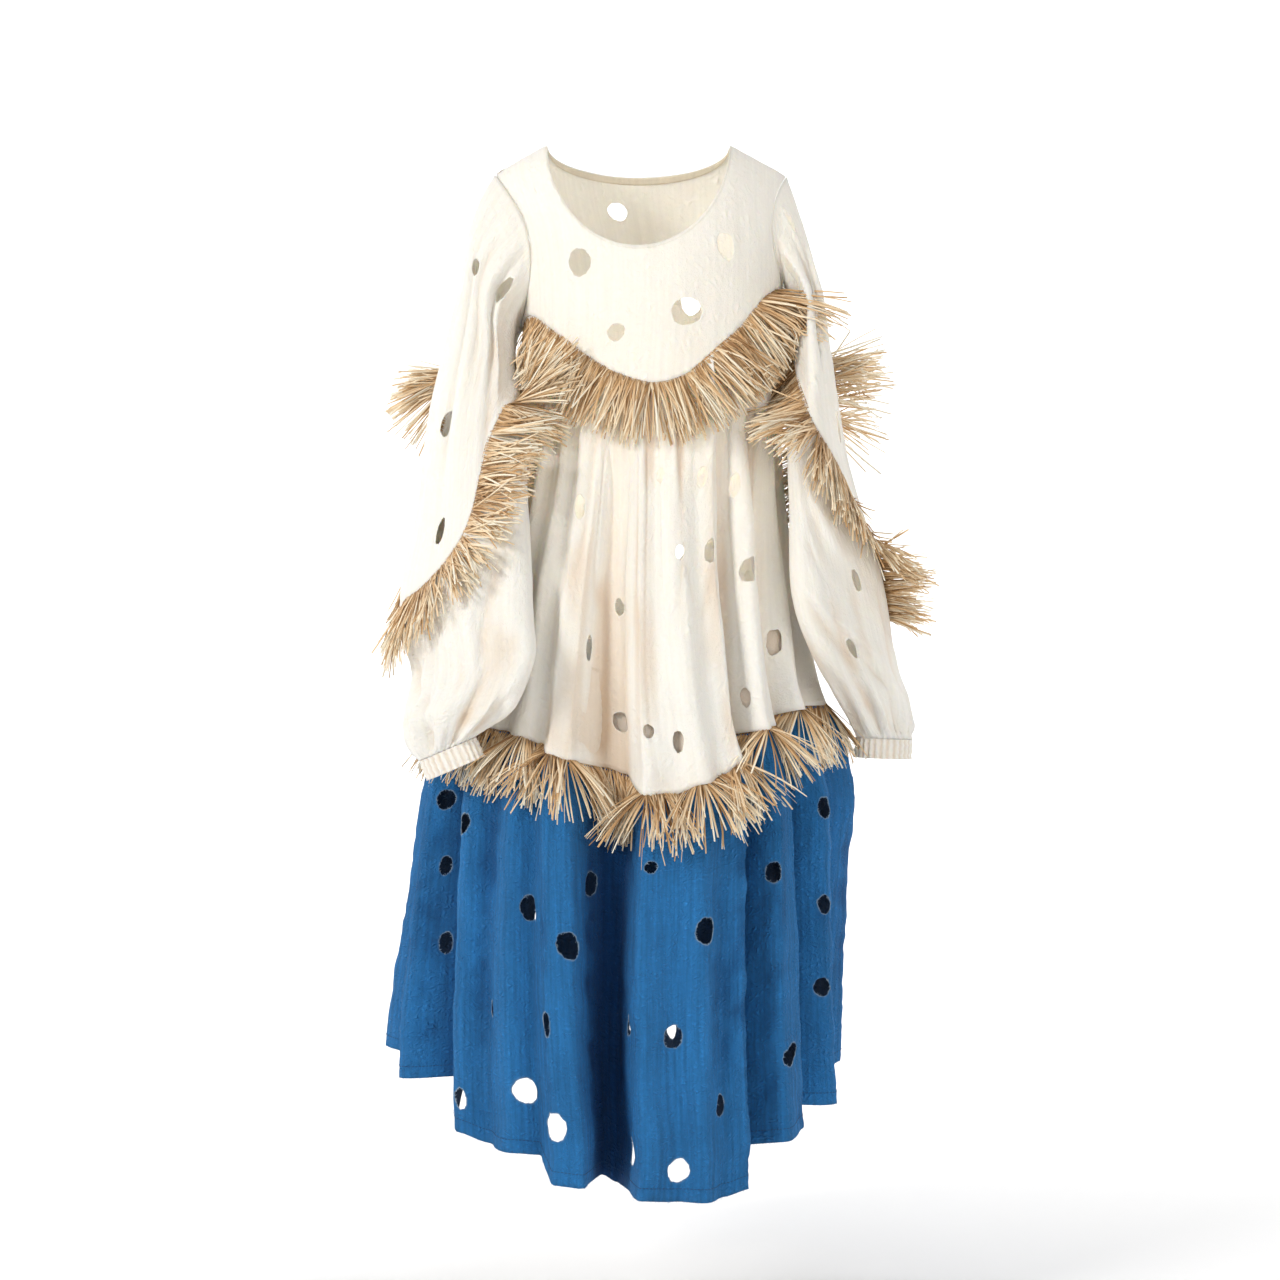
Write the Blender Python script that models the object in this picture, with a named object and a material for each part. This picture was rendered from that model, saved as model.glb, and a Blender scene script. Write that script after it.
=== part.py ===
"""Raffia maxi dress: cloth walls with their folds, torn round holes and raffia fringes.

The dress is hollow and keeps the shape it has when it is filled out. Its origin is midway between the
high shoulder points. +X is to the right as seen from the front, -Y is the front and +Z is up.
"""
import math
import random
from collections import namedtuple

import bpy
import numpy as np
from mathutils import Vector
from mathutils.bvhtree import BVHTree
from mathutils.geometry import delaunay_2d_cdt

# Cloth and seams
WALL = 0.0014
SEAM_GAP = 0.0007
ARMHOLE_EASE = 0.0023
FADE_BELOW_SEAM = 0.05
HOLE_MARGIN = 0.008

# Neck and shoulders
NECK_HALF_WIDTH = 0.118
FRONT_NECK_DROP = 0.149
BACK_NECK_DROP = 0.030
SHOULDER_SLOPE = 0.53
SHOULDER_ROUND = 0.100
ARMHOLE_SPREAD = math.radians(27)
UNDERARM_ABOVE_SEAM = 0.008
SHOULDER_TIP_GAP = 7.0
FACING_HEIGHT = 0.009
FACING_THICKNESS = 0.001
FACING_EASE = 0.0014
BACK_NECK_POINTS = 15
FRONT_NECK_POINTS = 23

# Heights at which the fold table gives its three readings
TOP_LEVEL = -0.38
TIER_LEVEL = -0.79
HEM_LEVEL = -1.25

# Raffia
STRIP_WIDTH = 0.009
STRIP_THICKNESS = 0.0016
LOCK_THICKNESS = 0.003
LOCK_CLEARANCE = 0.0006
LOCK_TURN_STEP = 0.07
LOCK_FREE_FROM = 0.03
LOCK_CLEAR_FROM = 0.08
TIP_SHARE = 0.75

# How a fringe hangs: its length, how far it turns from the cloth's own slope to straight down, the least
# and the most that it may turn out from the cloth, whether its strip follows the cloth's own length
# or stands square to the seam, and how far the strip stands off the cloth's middle
Hang = namedtuple("Hang", "length droop slope most_slope along_cloth lift seed")
YOKE_HANG = Hang(0.075, 0.25, 0.22, 1.2, False, 0.0021, 1)
BACK_HANG = Hang(0.075, 0.25, 0.22, 1.2, False, 0.0026, 4)
HEM_HANG = Hang(0.080, 0.60, 0.15, 1.0, True, 0.0018, 2)
LEFT_SLEEVE_HANG = Hang(0.075, 0.15, 0.30, 1.4, False, 0.0030, 5)
RIGHT_SLEEVE_HANG = Hang(0.075, 0.15, 0.30, 1.4, False, 0.0038, 5)

Section = namedtuple("Section", "z left right front back")
SECTIONS = [
    Section(0.000, -0.190, 0.196, -0.092, 0.082),
    Section(-0.035, -0.186, 0.192, -0.100, 0.088),
    Section(-0.130, -0.158, 0.189, -0.118, 0.100),
    Section(-0.230, -0.149, 0.186, -0.125, 0.108),
    Section(-0.330, -0.152, 0.180, -0.135, 0.115),
    Section(-0.450, -0.165, 0.184, -0.158, 0.130),
    Section(-0.600, -0.200, 0.204, -0.190, 0.160),
    Section(-0.730, -0.235, 0.234, -0.212, 0.190),
    Section(-0.800, -0.260, 0.260, -0.225, 0.205),
    Section(-0.950, -0.288, 0.260, -0.250, 0.230),
    Section(-1.100, -0.308, 0.252, -0.268, 0.245),
    Section(-1.310, -0.326, 0.246, -0.285, 0.262),
]

SeamPoint = namedtuple("SeamPoint", "angle z")
YOKE_SEAM = [
    SeamPoint(-90, -0.236),
    SeamPoint(-66, -0.230),
    SeamPoint(-44, -0.261),
    SeamPoint(-14, -0.311),
    SeamPoint(2, -0.323),
    SeamPoint(16, -0.311),
    SeamPoint(32, -0.273),
    SeamPoint(57, -0.211),
    SeamPoint(90, -0.194),
    SeamPoint(125, -0.225),
    SeamPoint(160, -0.280),
    SeamPoint(188, -0.292),
    SeamPoint(220, -0.268),
    SeamPoint(246, -0.238),
]

# One row for each ridge or valley round the body, from the left side over the front to the back.
# Angles are in degrees from the front, and out_* is how far the cloth stands from the smooth form.
Fold = namedtuple("Fold", "angle_top angle_tier angle_hem out_top out_tier out_hem tier_z hem_z")
FOLDS = [
    Fold(-90, -90, -86, 0.000, 0.008, 0.012, -0.745, -1.165),
    Fold(-78, -79, -70, -0.004, -0.018, -0.035, -0.742, -1.172),
    Fold(-66, -70, -59, 0.006, 0.014, 0.020, -0.742, -1.186),
    Fold(-58, -60, -46, -0.006, -0.032, -0.038, -0.746, -1.182),
    Fold(-50, -48, -36, 0.006, 0.016, 0.020, -0.752, -1.235),
    Fold(-44, -40, -29, -0.005, 0.006, 0.008, -0.756, -1.246),
    Fold(-38, -32, -21, 0.007, 0.024, 0.030, -0.762, -1.250),
    Fold(-33, -27, -15, -0.004, 0.012, 0.012, -0.770, -1.254),
    Fold(-27, -22, -10.5, 0.008, 0.036, 0.044, -0.783, -1.282),
    Fold(-21, -17.5, -5, 0.001, 0.030, 0.036, -0.790, -1.286),
    Fold(-15, -11, -1.5, -0.008, -0.036, -0.066, -0.800, -1.291),
    Fold(-8, -3.5, 4, -0.004, -0.034, -0.062, -0.808, -1.299),
    Fold(-2, 1.5, 7.5, 0.006, 0.030, 0.038, -0.831, -1.301),
    Fold(5, 8.5, 15, -0.003, 0.023, 0.030, -0.829, -1.305),
    Fold(12, 15, 21, 0.008, 0.038, 0.046, -0.817, -1.305),
    Fold(19, 20.5, 26, -0.004, 0.026, 0.033, -0.806, -1.303),
    Fold(26, 25.5, 31.5, 0.007, 0.031, 0.040, -0.794, -1.296),
    Fold(34, 29.5, 35.5, -0.008, -0.040, -0.066, -0.762, -1.266),
    Fold(43, 35, 42, 0.008, 0.030, 0.038, -0.754, -1.247),
    Fold(50, 39, 50, -0.004, 0.018, 0.030, -0.750, -1.238),
    Fold(57, 44, 57, 0.004, -0.024, -0.040, -0.740, -1.222),
    Fold(65, 52, 67, 0.006, 0.020, 0.024, -0.731, -1.222),
    Fold(77, 66, 77, -0.005, -0.018, -0.030, -0.728, -1.200),
    Fold(90, 84, 88, 0.003, 0.012, 0.012, -0.728, -1.185),
    Fold(104, 99, 99, -0.004, -0.026, -0.042, -0.730, -1.192),
    Fold(118, 114, 112, 0.006, 0.022, 0.028, -0.734, -1.206),
    Fold(132, 128, 126, -0.004, -0.032, -0.050, -0.738, -1.215),
    Fold(146, 142, 142, 0.006, 0.024, 0.030, -0.744, -1.228),
    Fold(158, 156, 158, -0.005, -0.030, -0.044, -0.748, -1.232),
    Fold(170, 172, 174, 0.007, 0.026, 0.032, -0.752, -1.240),
    Fold(184, 186, 188, -0.005, -0.032, -0.048, -0.752, -1.238),
    Fold(198, 200, 202, 0.006, 0.022, 0.030, -0.752, -1.236),
    Fold(212, 214, 216, -0.005, -0.034, -0.052, -0.750, -1.222),
    Fold(228, 228, 230, 0.006, 0.024, 0.030, -0.750, -1.208),
    Fold(244, 242, 246, -0.004, -0.026, -0.042, -0.747, -1.185),
]
RIGHT_SIDE_FOLD = 23
RIDGE_HEIGHTS = (0.007, 0.026, 0.030)
SLEEVE_CLEARANCE = 0.006
COLUMNS_PER_FOLD = 3

# One row for each section of a sleeve: its outer and inner edge as seen from the front, and half of
# its thickness across them.
Ring = namedtuple("Ring", "outer_x outer_y outer_z inner_x inner_y inner_z half_depth")
LEFT_RINGS = [
    Ring(-0.217, -0.010, -0.118, -0.158, -0.020, -0.268, 0.054),
    Ring(-0.241, -0.020, -0.228, -0.150, -0.060, -0.328, 0.052),
    Ring(-0.271, -0.035, -0.357, -0.140, -0.120, -0.420, 0.050),
    Ring(-0.286, -0.060, -0.492, -0.132, -0.170, -0.530, 0.052),
    Ring(-0.300, -0.095, -0.596, -0.128, -0.215, -0.615, 0.055),
    Ring(-0.284, -0.125, -0.685, -0.125, -0.240, -0.672, 0.060),
    Ring(-0.291, -0.150, -0.742, -0.150, -0.240, -0.722, 0.055),
    Ring(-0.269, -0.172, -0.792, -0.198, -0.215, -0.761, 0.030),
]
RIGHT_RINGS = [
    Ring(0.222, -0.010, -0.140, 0.201, -0.010, -0.240, 0.050),
    Ring(0.236, -0.025, -0.209, 0.196, -0.035, -0.300, 0.050),
    Ring(0.249, -0.040, -0.306, 0.188, -0.090, -0.390, 0.050),
    Ring(0.271, -0.035, -0.423, 0.188, -0.125, -0.495, 0.052),
    Ring(0.312, -0.015, -0.553, 0.189, -0.145, -0.585, 0.056),
    Ring(0.330, 0.000, -0.650, 0.210, -0.130, -0.655, 0.060),
    Ring(0.348, 0.005, -0.722, 0.243, -0.085, -0.706, 0.054),
    Ring(0.355, 0.000, -0.772, 0.280, -0.035, -0.768, 0.030),
]

# Where the fringed seam lies on each sleeve: the angle from the outer edge over the front, and how far
# down the sleeve, counted in its sections.
SleeveSeam = namedtuple("SleeveSeam", "angle section")
LEFT_SEAM = [
    SleeveSeam(0, 5.00),
    SleeveSeam(28, 4.95),
    SleeveSeam(55, 4.70),
    SleeveSeam(75, 4.30),
    SleeveSeam(92, 3.75),
    SleeveSeam(104, 3.10),
    SleeveSeam(120, 2.60),
    SleeveSeam(150, 2.30),
    SleeveSeam(185, 2.15),
    SleeveSeam(230, 2.05),
    SleeveSeam(280, 2.20),
    SleeveSeam(315, 2.70),
    SleeveSeam(338, 3.90),
]
RIGHT_SEAM = [
    SleeveSeam(0, 5.55),
    SleeveSeam(12, 4.90),
    SleeveSeam(35, 4.25),
    SleeveSeam(60, 3.75),
    SleeveSeam(90, 3.25),
    SleeveSeam(120, 2.60),
    SleeveSeam(150, 2.00),
    SleeveSeam(185, 1.75),
    SleeveSeam(230, 2.00),
    SleeveSeam(270, 2.70),
    SleeveSeam(305, 3.90),
    SleeveSeam(335, 5.20),
]

# Soft ridges and troughs on the sleeves, as lines from one place to another.
Crease = namedtuple("Crease", "angle_a section_a angle_b section_b width out")
LEFT_CREASES = [
    Crease(40, 0.6, 52, 3.4, 0.011, 0.006),
    Crease(66, 0.3, 78, 2.6, 0.012, -0.006),
    Crease(108, 0.2, 118, 2.2, 0.012, 0.005),
    Crease(20, 5.6, 60, 7.0, 0.014, -0.007),
    Crease(95, 5.3, 80, 7.2, 0.014, 0.007),
    Crease(140, 5.0, 120, 7.0, 0.014, -0.007),
    Crease(215, 1.0, 230, 3.5, 0.014, -0.007),
    Crease(270, 0.6, 262, 4.4, 0.015, 0.007),
    Crease(300, 3.6, 285, 7.0, 0.015, -0.008),
]
RIGHT_CREASES = [
    Crease(60, 0.3, 52, 2.7, 0.012, -0.008),
    Crease(88, 0.4, 78, 2.8, 0.012, 0.006),
    Crease(118, 0.3, 110, 1.9, 0.012, -0.005),
    Crease(125, 4.3, 60, 6.6, 0.014, 0.008),
    Crease(150, 4.9, 78, 6.9, 0.012, -0.007),
    Crease(30, 4.9, 36, 7.1, 0.013, -0.006),
    Crease(228, 0.9, 240, 3.8, 0.014, -0.007),
    Crease(280, 0.7, 272, 4.5, 0.015, 0.007),
    Crease(255, 4.2, 245, 7.0, 0.015, -0.008),
]
SLEEVE_COLUMNS = 32
DEGREES_PER_SECTION = 77
SLEEVE_SEAM_GAP = 0.010
SLEEVE_SIDE_GAP = 0.5
BODY_SIDE_GAP = 0.008
CUFF_RIBS = 18
CUFF_RIB_OUT = 0.0012
CUFF_HEIGHT = 0.026
CUFF_GAP = 0.0011
PUFF_GATHERS = 9
PUFF_GATHER_OUT = 0.006

# Torn holes: where each shows from the front or the back, and its real size along the cloth.
Hole = namedtuple("Hole", "x z width height tilt")
HOLES = {
    "yoke_front": [
        Hole(-0.074, -0.169, 0.030, 0.037, 0),
        Hole(-0.027, -0.258, 0.024, 0.023, 0),
        Hole(0.060, -0.233, 0.038, 0.038, 0),
        Hole(0.110, -0.148, 0.024, 0.036, 10),
    ],
    "yoke_back": [
        Hole(-0.027, -0.072, 0.026, 0.026, 0),
        Hole(0.070, -0.190, 0.030, 0.034, 0),
    ],
    "sleeve_left_front": [
        Hole(-0.208, -0.168, 0.016, 0.024, 0),
        Hole(-0.172, -0.196, 0.020, 0.038, 0),
        Hole(-0.239, -0.372, 0.018, 0.034, 0),
        Hole(-0.246, -0.509, 0.018, 0.036, 0),
    ],
    "sleeve_left_back": [
        Hole(-0.210, -0.200, 0.026, 0.032, 0),
    ],
    "sleeve_right_front": [
        Hole(0.192, -0.105, 0.010, 0.040, -4),
        Hole(0.201, -0.180, 0.014, 0.070, -6),
        Hole(0.252, -0.372, 0.014, 0.040, 0),
    ],
    "sleeve_right_back": [
        Hole(0.222, -0.165, 0.024, 0.030, 0),
    ],
    "puff_left_back": [
        Hole(-0.225, -0.560, 0.028, 0.030, 0),
    ],
    "puff_right_front": [
        Hole(0.275, -0.568, 0.018, 0.028, 0),
        Hole(0.268, -0.654, 0.020, 0.026, 0),
    ],
    "tier_front": [
        Hole(-0.073, -0.479, 0.016, 0.032, 0),
        Hole(0.029, -0.443, 0.012, 0.020, 0),
        Hole(0.078, -0.441, 0.016, 0.026, 0),
        Hole(0.120, -0.451, 0.018, 0.033, 0),
        Hole(0.051, -0.537, 0.014, 0.021, 0),
        Hole(0.089, -0.532, 0.020, 0.032, 0),
        Hole(0.138, -0.558, 0.029, 0.032, 0),
        Hole(-0.023, -0.603, 0.014, 0.023, 0),
        Hole(0.168, -0.648, 0.022, 0.034, 0),
        Hole(0.133, -0.712, 0.018, 0.026, 0),
        Hole(-0.020, -0.746, 0.024, 0.026, 0),
        Hole(0.014, -0.753, 0.015, 0.018, 0),
        Hole(0.047, -0.766, 0.016, 0.028, 0),
        Hole(-0.060, -0.655, 0.012, 0.034, 0),
    ],
    "tier_back": [
        Hole(-0.095, -0.430, 0.024, 0.030, 0),
        Hole(0.055, -0.520, 0.028, 0.032, 0),
        Hole(-0.040, -0.640, 0.022, 0.028, 0),
        Hole(0.130, -0.670, 0.026, 0.030, 0),
    ],
    "skirt_front": [
        Hole(-0.240, -0.846, 0.024, 0.026, 0),
        Hole(-0.213, -0.870, 0.020, 0.030, -25),
        Hole(-0.245, -0.925, 0.016, 0.025, 0),
        Hole(-0.242, -1.022, 0.018, 0.030, 0),
        Hole(-0.130, -0.965, 0.028, 0.031, 0),
        Hole(-0.083, -1.008, 0.028, 0.033, 0),
        Hole(-0.055, -0.937, 0.030, 0.031, 0),
        Hole(-0.175, -1.086, 0.015, 0.023, 0),
        Hole(-0.111, -1.096, 0.013, 0.031, 0),
        Hole(-0.009, -1.103, 0.024, 0.026, 0),
        Hole(0.040, -1.112, 0.024, 0.029, 0),
        Hole(0.080, -0.991, 0.026, 0.032, 0),
        Hole(0.015, -0.915, 0.018, 0.015, 0),
        Hole(0.162, -0.925, 0.024, 0.026, 0),
        Hole(0.230, -0.850, 0.022, 0.026, 0),
        Hole(0.232, -0.972, 0.020, 0.024, 0),
        Hole(0.226, -1.076, 0.024, 0.024, 0),
        Hole(0.184, -1.144, 0.032, 0.025, 0),
        Hole(0.095, -1.195, 0.018, 0.027, 0),
        Hole(-0.133, -1.178, 0.032, 0.032, 0),
        Hole(-0.098, -1.216, 0.026, 0.032, 0),
        Hole(-0.215, -1.195, 0.016, 0.025, 0),
        Hole(-0.010, -1.252, 0.022, 0.034, 0),
        Hole(0.048, -1.270, 0.027, 0.029, 0),
    ],
    "skirt_back": [
        Hole(-0.137, -1.025, 0.034, 0.036, 0),
        Hole(0.000, -1.185, 0.030, 0.034, 0),
        Hole(0.044, -1.180, 0.034, 0.036, 0),
        Hole(0.150, -0.950, 0.026, 0.030, 0),
        Hole(-0.210, -0.900, 0.026, 0.030, 0),
        Hole(0.180, -1.080, 0.028, 0.032, 0),
        Hole(-0.080, -0.880, 0.024, 0.028, 0),
    ],
}

CREAM = ("cream cotton", (0.92, 0.88, 0.79), 0.85)
BLUE = ("indigo cotton", (0.030, 0.165, 0.410), 0.80)
RAFFIA = ("raffia", (0.60, 0.42, 0.21), 0.60)
TAPE = ("beige tape", (0.80, 0.70, 0.54), 0.80)

# The middle layer of each cloth wall, kept as (points, faces) for the fringes to stay clear of
MIDDLES = []


def curve(knots, values, at):
    """Read the smooth curve through (knots, values) at each place in at, level beyond its ends."""
    knots = np.asarray(knots, float)
    values = np.asarray(values, float)
    at = np.clip(np.asarray(at, float), knots[0], knots[-1])
    slopes = np.gradient(values, knots)
    cell = np.clip(np.searchsorted(knots, at, side="right") - 1, 0, len(knots) - 2)
    width = knots[cell + 1] - knots[cell]
    f = (at - knots[cell]) / width
    start = (1 + 2 * f) * (1 - f) ** 2 * values[cell] + f * (1 - f) ** 2 * width * slopes[cell]
    end = f * f * (3 - 2 * f) * values[cell + 1] + f * f * (f - 1) * width * slopes[cell + 1]
    return start + end


def ring_curve(rows, at):
    """Read a curve that closes on itself after a full turn; rows are (degrees, value)."""
    rows = [tuple(row) for row in rows]
    before = [(angle - 360, value) for angle, value in rows[-3:]]
    after = [(angle + 360, value) for angle, value in rows[:3]]
    angles, values = zip(*(before + rows + after))
    turned = (np.asarray(at, float) - rows[0][0]) % 360 + rows[0][0]
    return curve(angles, values, turned)


def soft_step(value):
    """Rise smoothly from 0 to 1 as value goes from 0 to 1."""
    value = np.clip(value, 0, 1)
    return value * value * (3 - 2 * value)


def half_cosine(value):
    """Go from 0 to 1 along half a cosine wave."""
    return (1 - np.cos(math.pi * value)) / 2


def body_form(z):
    """The middle and half-sizes of the smooth body at height z."""
    heights = [-row.z for row in SECTIONS]
    left, right, front, back = (
        curve(heights, [getattr(row, side) for row in SECTIONS], -np.asarray(z, float))
        for side in ("left", "right", "front", "back")
    )
    return (left + right) / 2, (right - left) / 2, (front + back) / 2, (back - front) / 2


def fold_pair(place, column):
    """A fold table column at the folds on either side of place, the second one turned on past the last."""
    values = np.array([getattr(row, column) for row in FOLDS], float)
    low = np.floor(place).astype(int)
    first = values[low % len(FOLDS)]
    second = values[(low + 1) % len(FOLDS)]
    return first, second


def fold_angle(place, z):
    """The angle round the body of the fold line place, which may lie between two folds, at height z."""
    low = np.floor(place)
    share = place - low
    angle = 0
    for column, weight in zip(("angle_top", "angle_tier", "angle_hem"), level_weights(z)):
        first, second = fold_pair(place, column)
        turn = 360.0 * np.floor(low / len(FOLDS))
        next_turn = 360.0 * np.floor((low + 1) / len(FOLDS))
        angle = angle + weight * ((first + turn) * (1 - share) + (second + next_turn) * share)
    return angle


def level_weights(z):
    """How much each of the fold table's three heights counts at height z."""
    to_tier = np.clip((TOP_LEVEL - z) / (TOP_LEVEL - TIER_LEVEL), 0, 1)
    to_hem = np.clip((TIER_LEVEL - z) / (TIER_LEVEL - HEM_LEVEL), 0, 1)
    return 1 - to_tier, to_tier - to_hem, to_hem


def fold_value(place, column):
    """A fold table column at the fold line place, running smoothly from fold to fold."""
    first, second = fold_pair(place, column)
    return first + (second - first) * half_cosine(place - np.floor(place))


def fold_out(place, z):
    """How far the cloth stands out of the smooth form on the fold line place at height z."""
    readings = [fold_value(place, column) for column in ("out_top", "out_tier", "out_hem")]
    out = sum(weight * reading for weight, reading in zip(level_weights(z), readings))
    seam = yoke_seam_z(fold_angle(place, z))
    return out * soft_step((seam - z) / FADE_BELOW_SEAM)


def yoke_seam_z(angle):
    """The height of the yoke seam at an angle round the body."""
    return ring_curve(YOKE_SEAM, angle)


def shoulder_z(angle):
    """The height of the shoulder line, which falls away from the neck, at an angle round the body."""
    mid_x, half_x, _, _ = body_form(0.0)
    x = mid_x + half_x * np.sin(np.radians(angle))
    return -SHOULDER_SLOPE * np.clip(np.abs(x) - NECK_HALF_WIDTH, 0, None)


def shoulder_share(drop):
    """How far out of the shoulder seam towards the full depth the body is, at a drop below it."""
    return np.sqrt(np.clip(1 - (1 - np.clip(drop / SHOULDER_ROUND, 0, 1)) ** 2, 0, 1))


def body_point(angle, z, out=0.0):
    """A point of the body at an angle and height, out from its smooth form."""
    mid_x, half_x, mid_y, half_y = body_form(z)
    swell = 1 + out / ((half_x + half_y) / 2)
    depth = shoulder_share(shoulder_z(angle) - z)
    turn = np.radians(angle)
    x = mid_x + half_x * np.sin(turn) * swell
    y = depth * (mid_y - half_y * np.cos(turn) * swell)
    return np.stack(np.broadcast_arrays(x, y, z), axis=-1)


def tier_surface(place, share):
    """The gathered cream body: share 0 is the yoke seam and 1 the hem seam."""
    seam = yoke_seam_z(fold_angle(place, TOP_LEVEL))
    z = seam + (fold_value(place, "tier_z") - seam) * share
    return body_point(fold_angle(place, z), z, fold_out(place, z))


def skirt_surface(place, share):
    """The blue tier: share 0 is the seam at the cream body's hem and 1 the lower hem."""
    top = fold_value(place, "tier_z")
    z = top + (fold_value(place, "hem_z") - top) * share
    return body_point(fold_angle(place, z), z, fold_out(place, z))


def yoke_surface(angle, fall):
    """The yoke at an angle, fall being measured over the rounded shoulder and straight down below it."""
    round_length = SHOULDER_ROUND * math.pi / 2
    turn = np.clip(fall / round_length, 0, 1) * math.pi / 2
    drop = SHOULDER_ROUND * (1 - np.cos(turn)) + np.clip(fall - round_length, 0, None)
    return body_point(angle, shoulder_z(angle) - drop)


def yoke_fall(angle, z):
    """The fall at which yoke_surface reaches height z."""
    drop = shoulder_z(angle) - z
    turn = np.arccos(np.clip(1 - drop / SHOULDER_ROUND, 0, 1))
    return SHOULDER_ROUND * turn + np.clip(drop - SHOULDER_ROUND, 0, None)


def armhole_place(side, turn):
    """The angle and height on the body of the armhole, turn degrees from the shoulder over the front."""
    top = shoulder_z(side * 90.0)
    bottom = yoke_seam_z(side * 90.0) + UNDERARM_ABOVE_SEAM
    z = (top + bottom) / 2 + (top - bottom) / 2 * np.cos(np.radians(turn))
    angle = side * (90 - math.degrees(ARMHOLE_SPREAD) * np.sin(np.radians(turn)))
    return angle, z


def armhole_middle(side):
    """The middle of an armhole."""
    angle, z = armhole_place(side, np.array([0.0, 180.0]))
    return body_point(angle, z).mean(axis=0)


def ring_middle(ring):
    """The middle of a sleeve section."""
    outer = np.array([ring.outer_x, ring.outer_y, ring.outer_z])
    inner = np.array([ring.inner_x, ring.inner_y, ring.inner_z])
    return (outer + inner) / 2


def ring_points(ring, turn):
    """The points of one sleeve section, turn degrees from its outer edge over the front."""
    middle = ring_middle(ring)
    across = np.array([ring.outer_x, ring.outer_y, ring.outer_z]) - middle
    front = np.array([0.0, -ring.half_depth, 0.0])
    turn = np.radians(turn)[..., None]
    return middle + across * np.cos(turn) + front * np.sin(turn)


def sleeve_surface(side, rings, creases, turn, section):
    """A sleeve at turn degrees from its outer edge over the front, section 0 being the armhole."""
    turn, section = np.broadcast_arrays(np.asarray(turn, float), np.asarray(section, float))
    angle, z = armhole_place(side, turn)
    start = body_point(angle, z) + np.array([side * ARMHOLE_EASE, 0, 0])
    knots = np.stack([start] + [ring_points(ring, turn) for ring in rings])
    slopes = np.gradient(knots, axis=0)
    cell = np.clip(np.floor(section).astype(int), 0, len(rings) - 1)
    f = (section - cell)[..., None]

    def pick(rows, index):
        return np.take_along_axis(rows, index[None, ..., None], axis=0)[0]

    point = (1 + 2 * f) * (1 - f) ** 2 * pick(knots, cell) + f * (1 - f) ** 2 * pick(slopes, cell)
    point = point + f * f * (3 - 2 * f) * pick(knots, cell + 1) + f * f * (f - 1) * pick(slopes, cell + 1)
    axis = np.stack([armhole_middle(side)] + [ring_middle(ring) for ring in rings])
    centre = axis[cell] * (1 - f) + axis[cell + 1] * f
    outward = point - centre
    outward = outward / np.linalg.norm(outward, axis=-1, keepdims=True)
    out = sleeve_relief(creases, turn, section, len(rings))
    return rest_on_body(point + outward * out[..., None])


def sleeve_relief(creases, turn, section, last):
    """How far creases and the gathers at the cuff raise a sleeve."""
    round_scale = 0.075
    section_scale = 0.1
    relief = np.zeros(np.shape(turn))
    for crease in creases:
        along = np.array([math.radians(crease.angle_b - crease.angle_a) * round_scale,
                          (crease.section_b - crease.section_a) * section_scale])
        away_turn = (turn - crease.angle_a + 180) % 360 - 180
        away = np.stack([np.radians(away_turn) * round_scale,
                         (section - crease.section_a) * section_scale], axis=-1)
        share = away @ along / (along @ along)
        off_line = np.abs(away[..., 0] * along[1] - away[..., 1] * along[0]) / np.linalg.norm(along)
        reach = soft_step(share / 0.3) * soft_step((1 - share) / 0.3)
        relief = relief + crease.out * reach * np.exp(-(off_line / crease.width) ** 2)
    near_cuff = soft_step((section - (last - 1.6)) / 1.0) * soft_step((last - section) / 0.25)
    gathers = PUFF_GATHER_OUT * np.cos(np.radians(turn) * PUFF_GATHERS) * near_cuff
    return relief + gathers


def rest_on_body(point):
    """Move points that would lie in the body's folds, or too near them, straight out to clear them."""
    mid_x, half_x, mid_y, half_y = body_form(point[..., 2])
    x = (point[..., 0] - mid_x) / half_x
    y = (point[..., 1] - mid_y) / half_y
    ridge = sum(weight * height for weight, height in zip(level_weights(point[..., 2]), RIDGE_HEIGHTS))
    least = 1 + (ridge + SLEEVE_CLEARANCE) / ((half_x + half_y) / 2)
    grow = np.clip(least / np.maximum(np.hypot(x, y), 1e-6), 1, None)
    angle = np.degrees(np.arctan2(x, -y))
    below_seam = soft_step((yoke_seam_z(angle) - point[..., 2]) / 0.04)
    grow = 1 + (grow - 1) * below_seam
    moved = point.copy()
    moved[..., 0] = mid_x + (point[..., 0] - mid_x) * grow
    moved[..., 1] = mid_y + (point[..., 1] - mid_y) * grow
    return moved


def inside(point, loop):
    """Whether a flat point lies in a closed loop of flat points."""
    crossings = False
    for (ax, ay), (bx, by) in zip(loop, loop[1:] + loop[:1]):
        if (ay > point[1]) != (by > point[1]) and point[0] < (bx - ax) * (point[1] - ay) / (by - ay) + ax:
            crossings = not crossings
    return crossings


def far_from(point, loop, distance):
    """Whether a flat point keeps a distance from every side of a loop."""
    place = Vector(point)
    for start, end in zip(loop, loop[1:] + loop[:1]):
        start = Vector(start)
        side = Vector(end) - start
        share = max(0, min(1, (place - start).dot(side) / max(side.length_squared, 1e-12)))
        if (start + side * share - place).length < distance:
            return False
    return True


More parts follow.
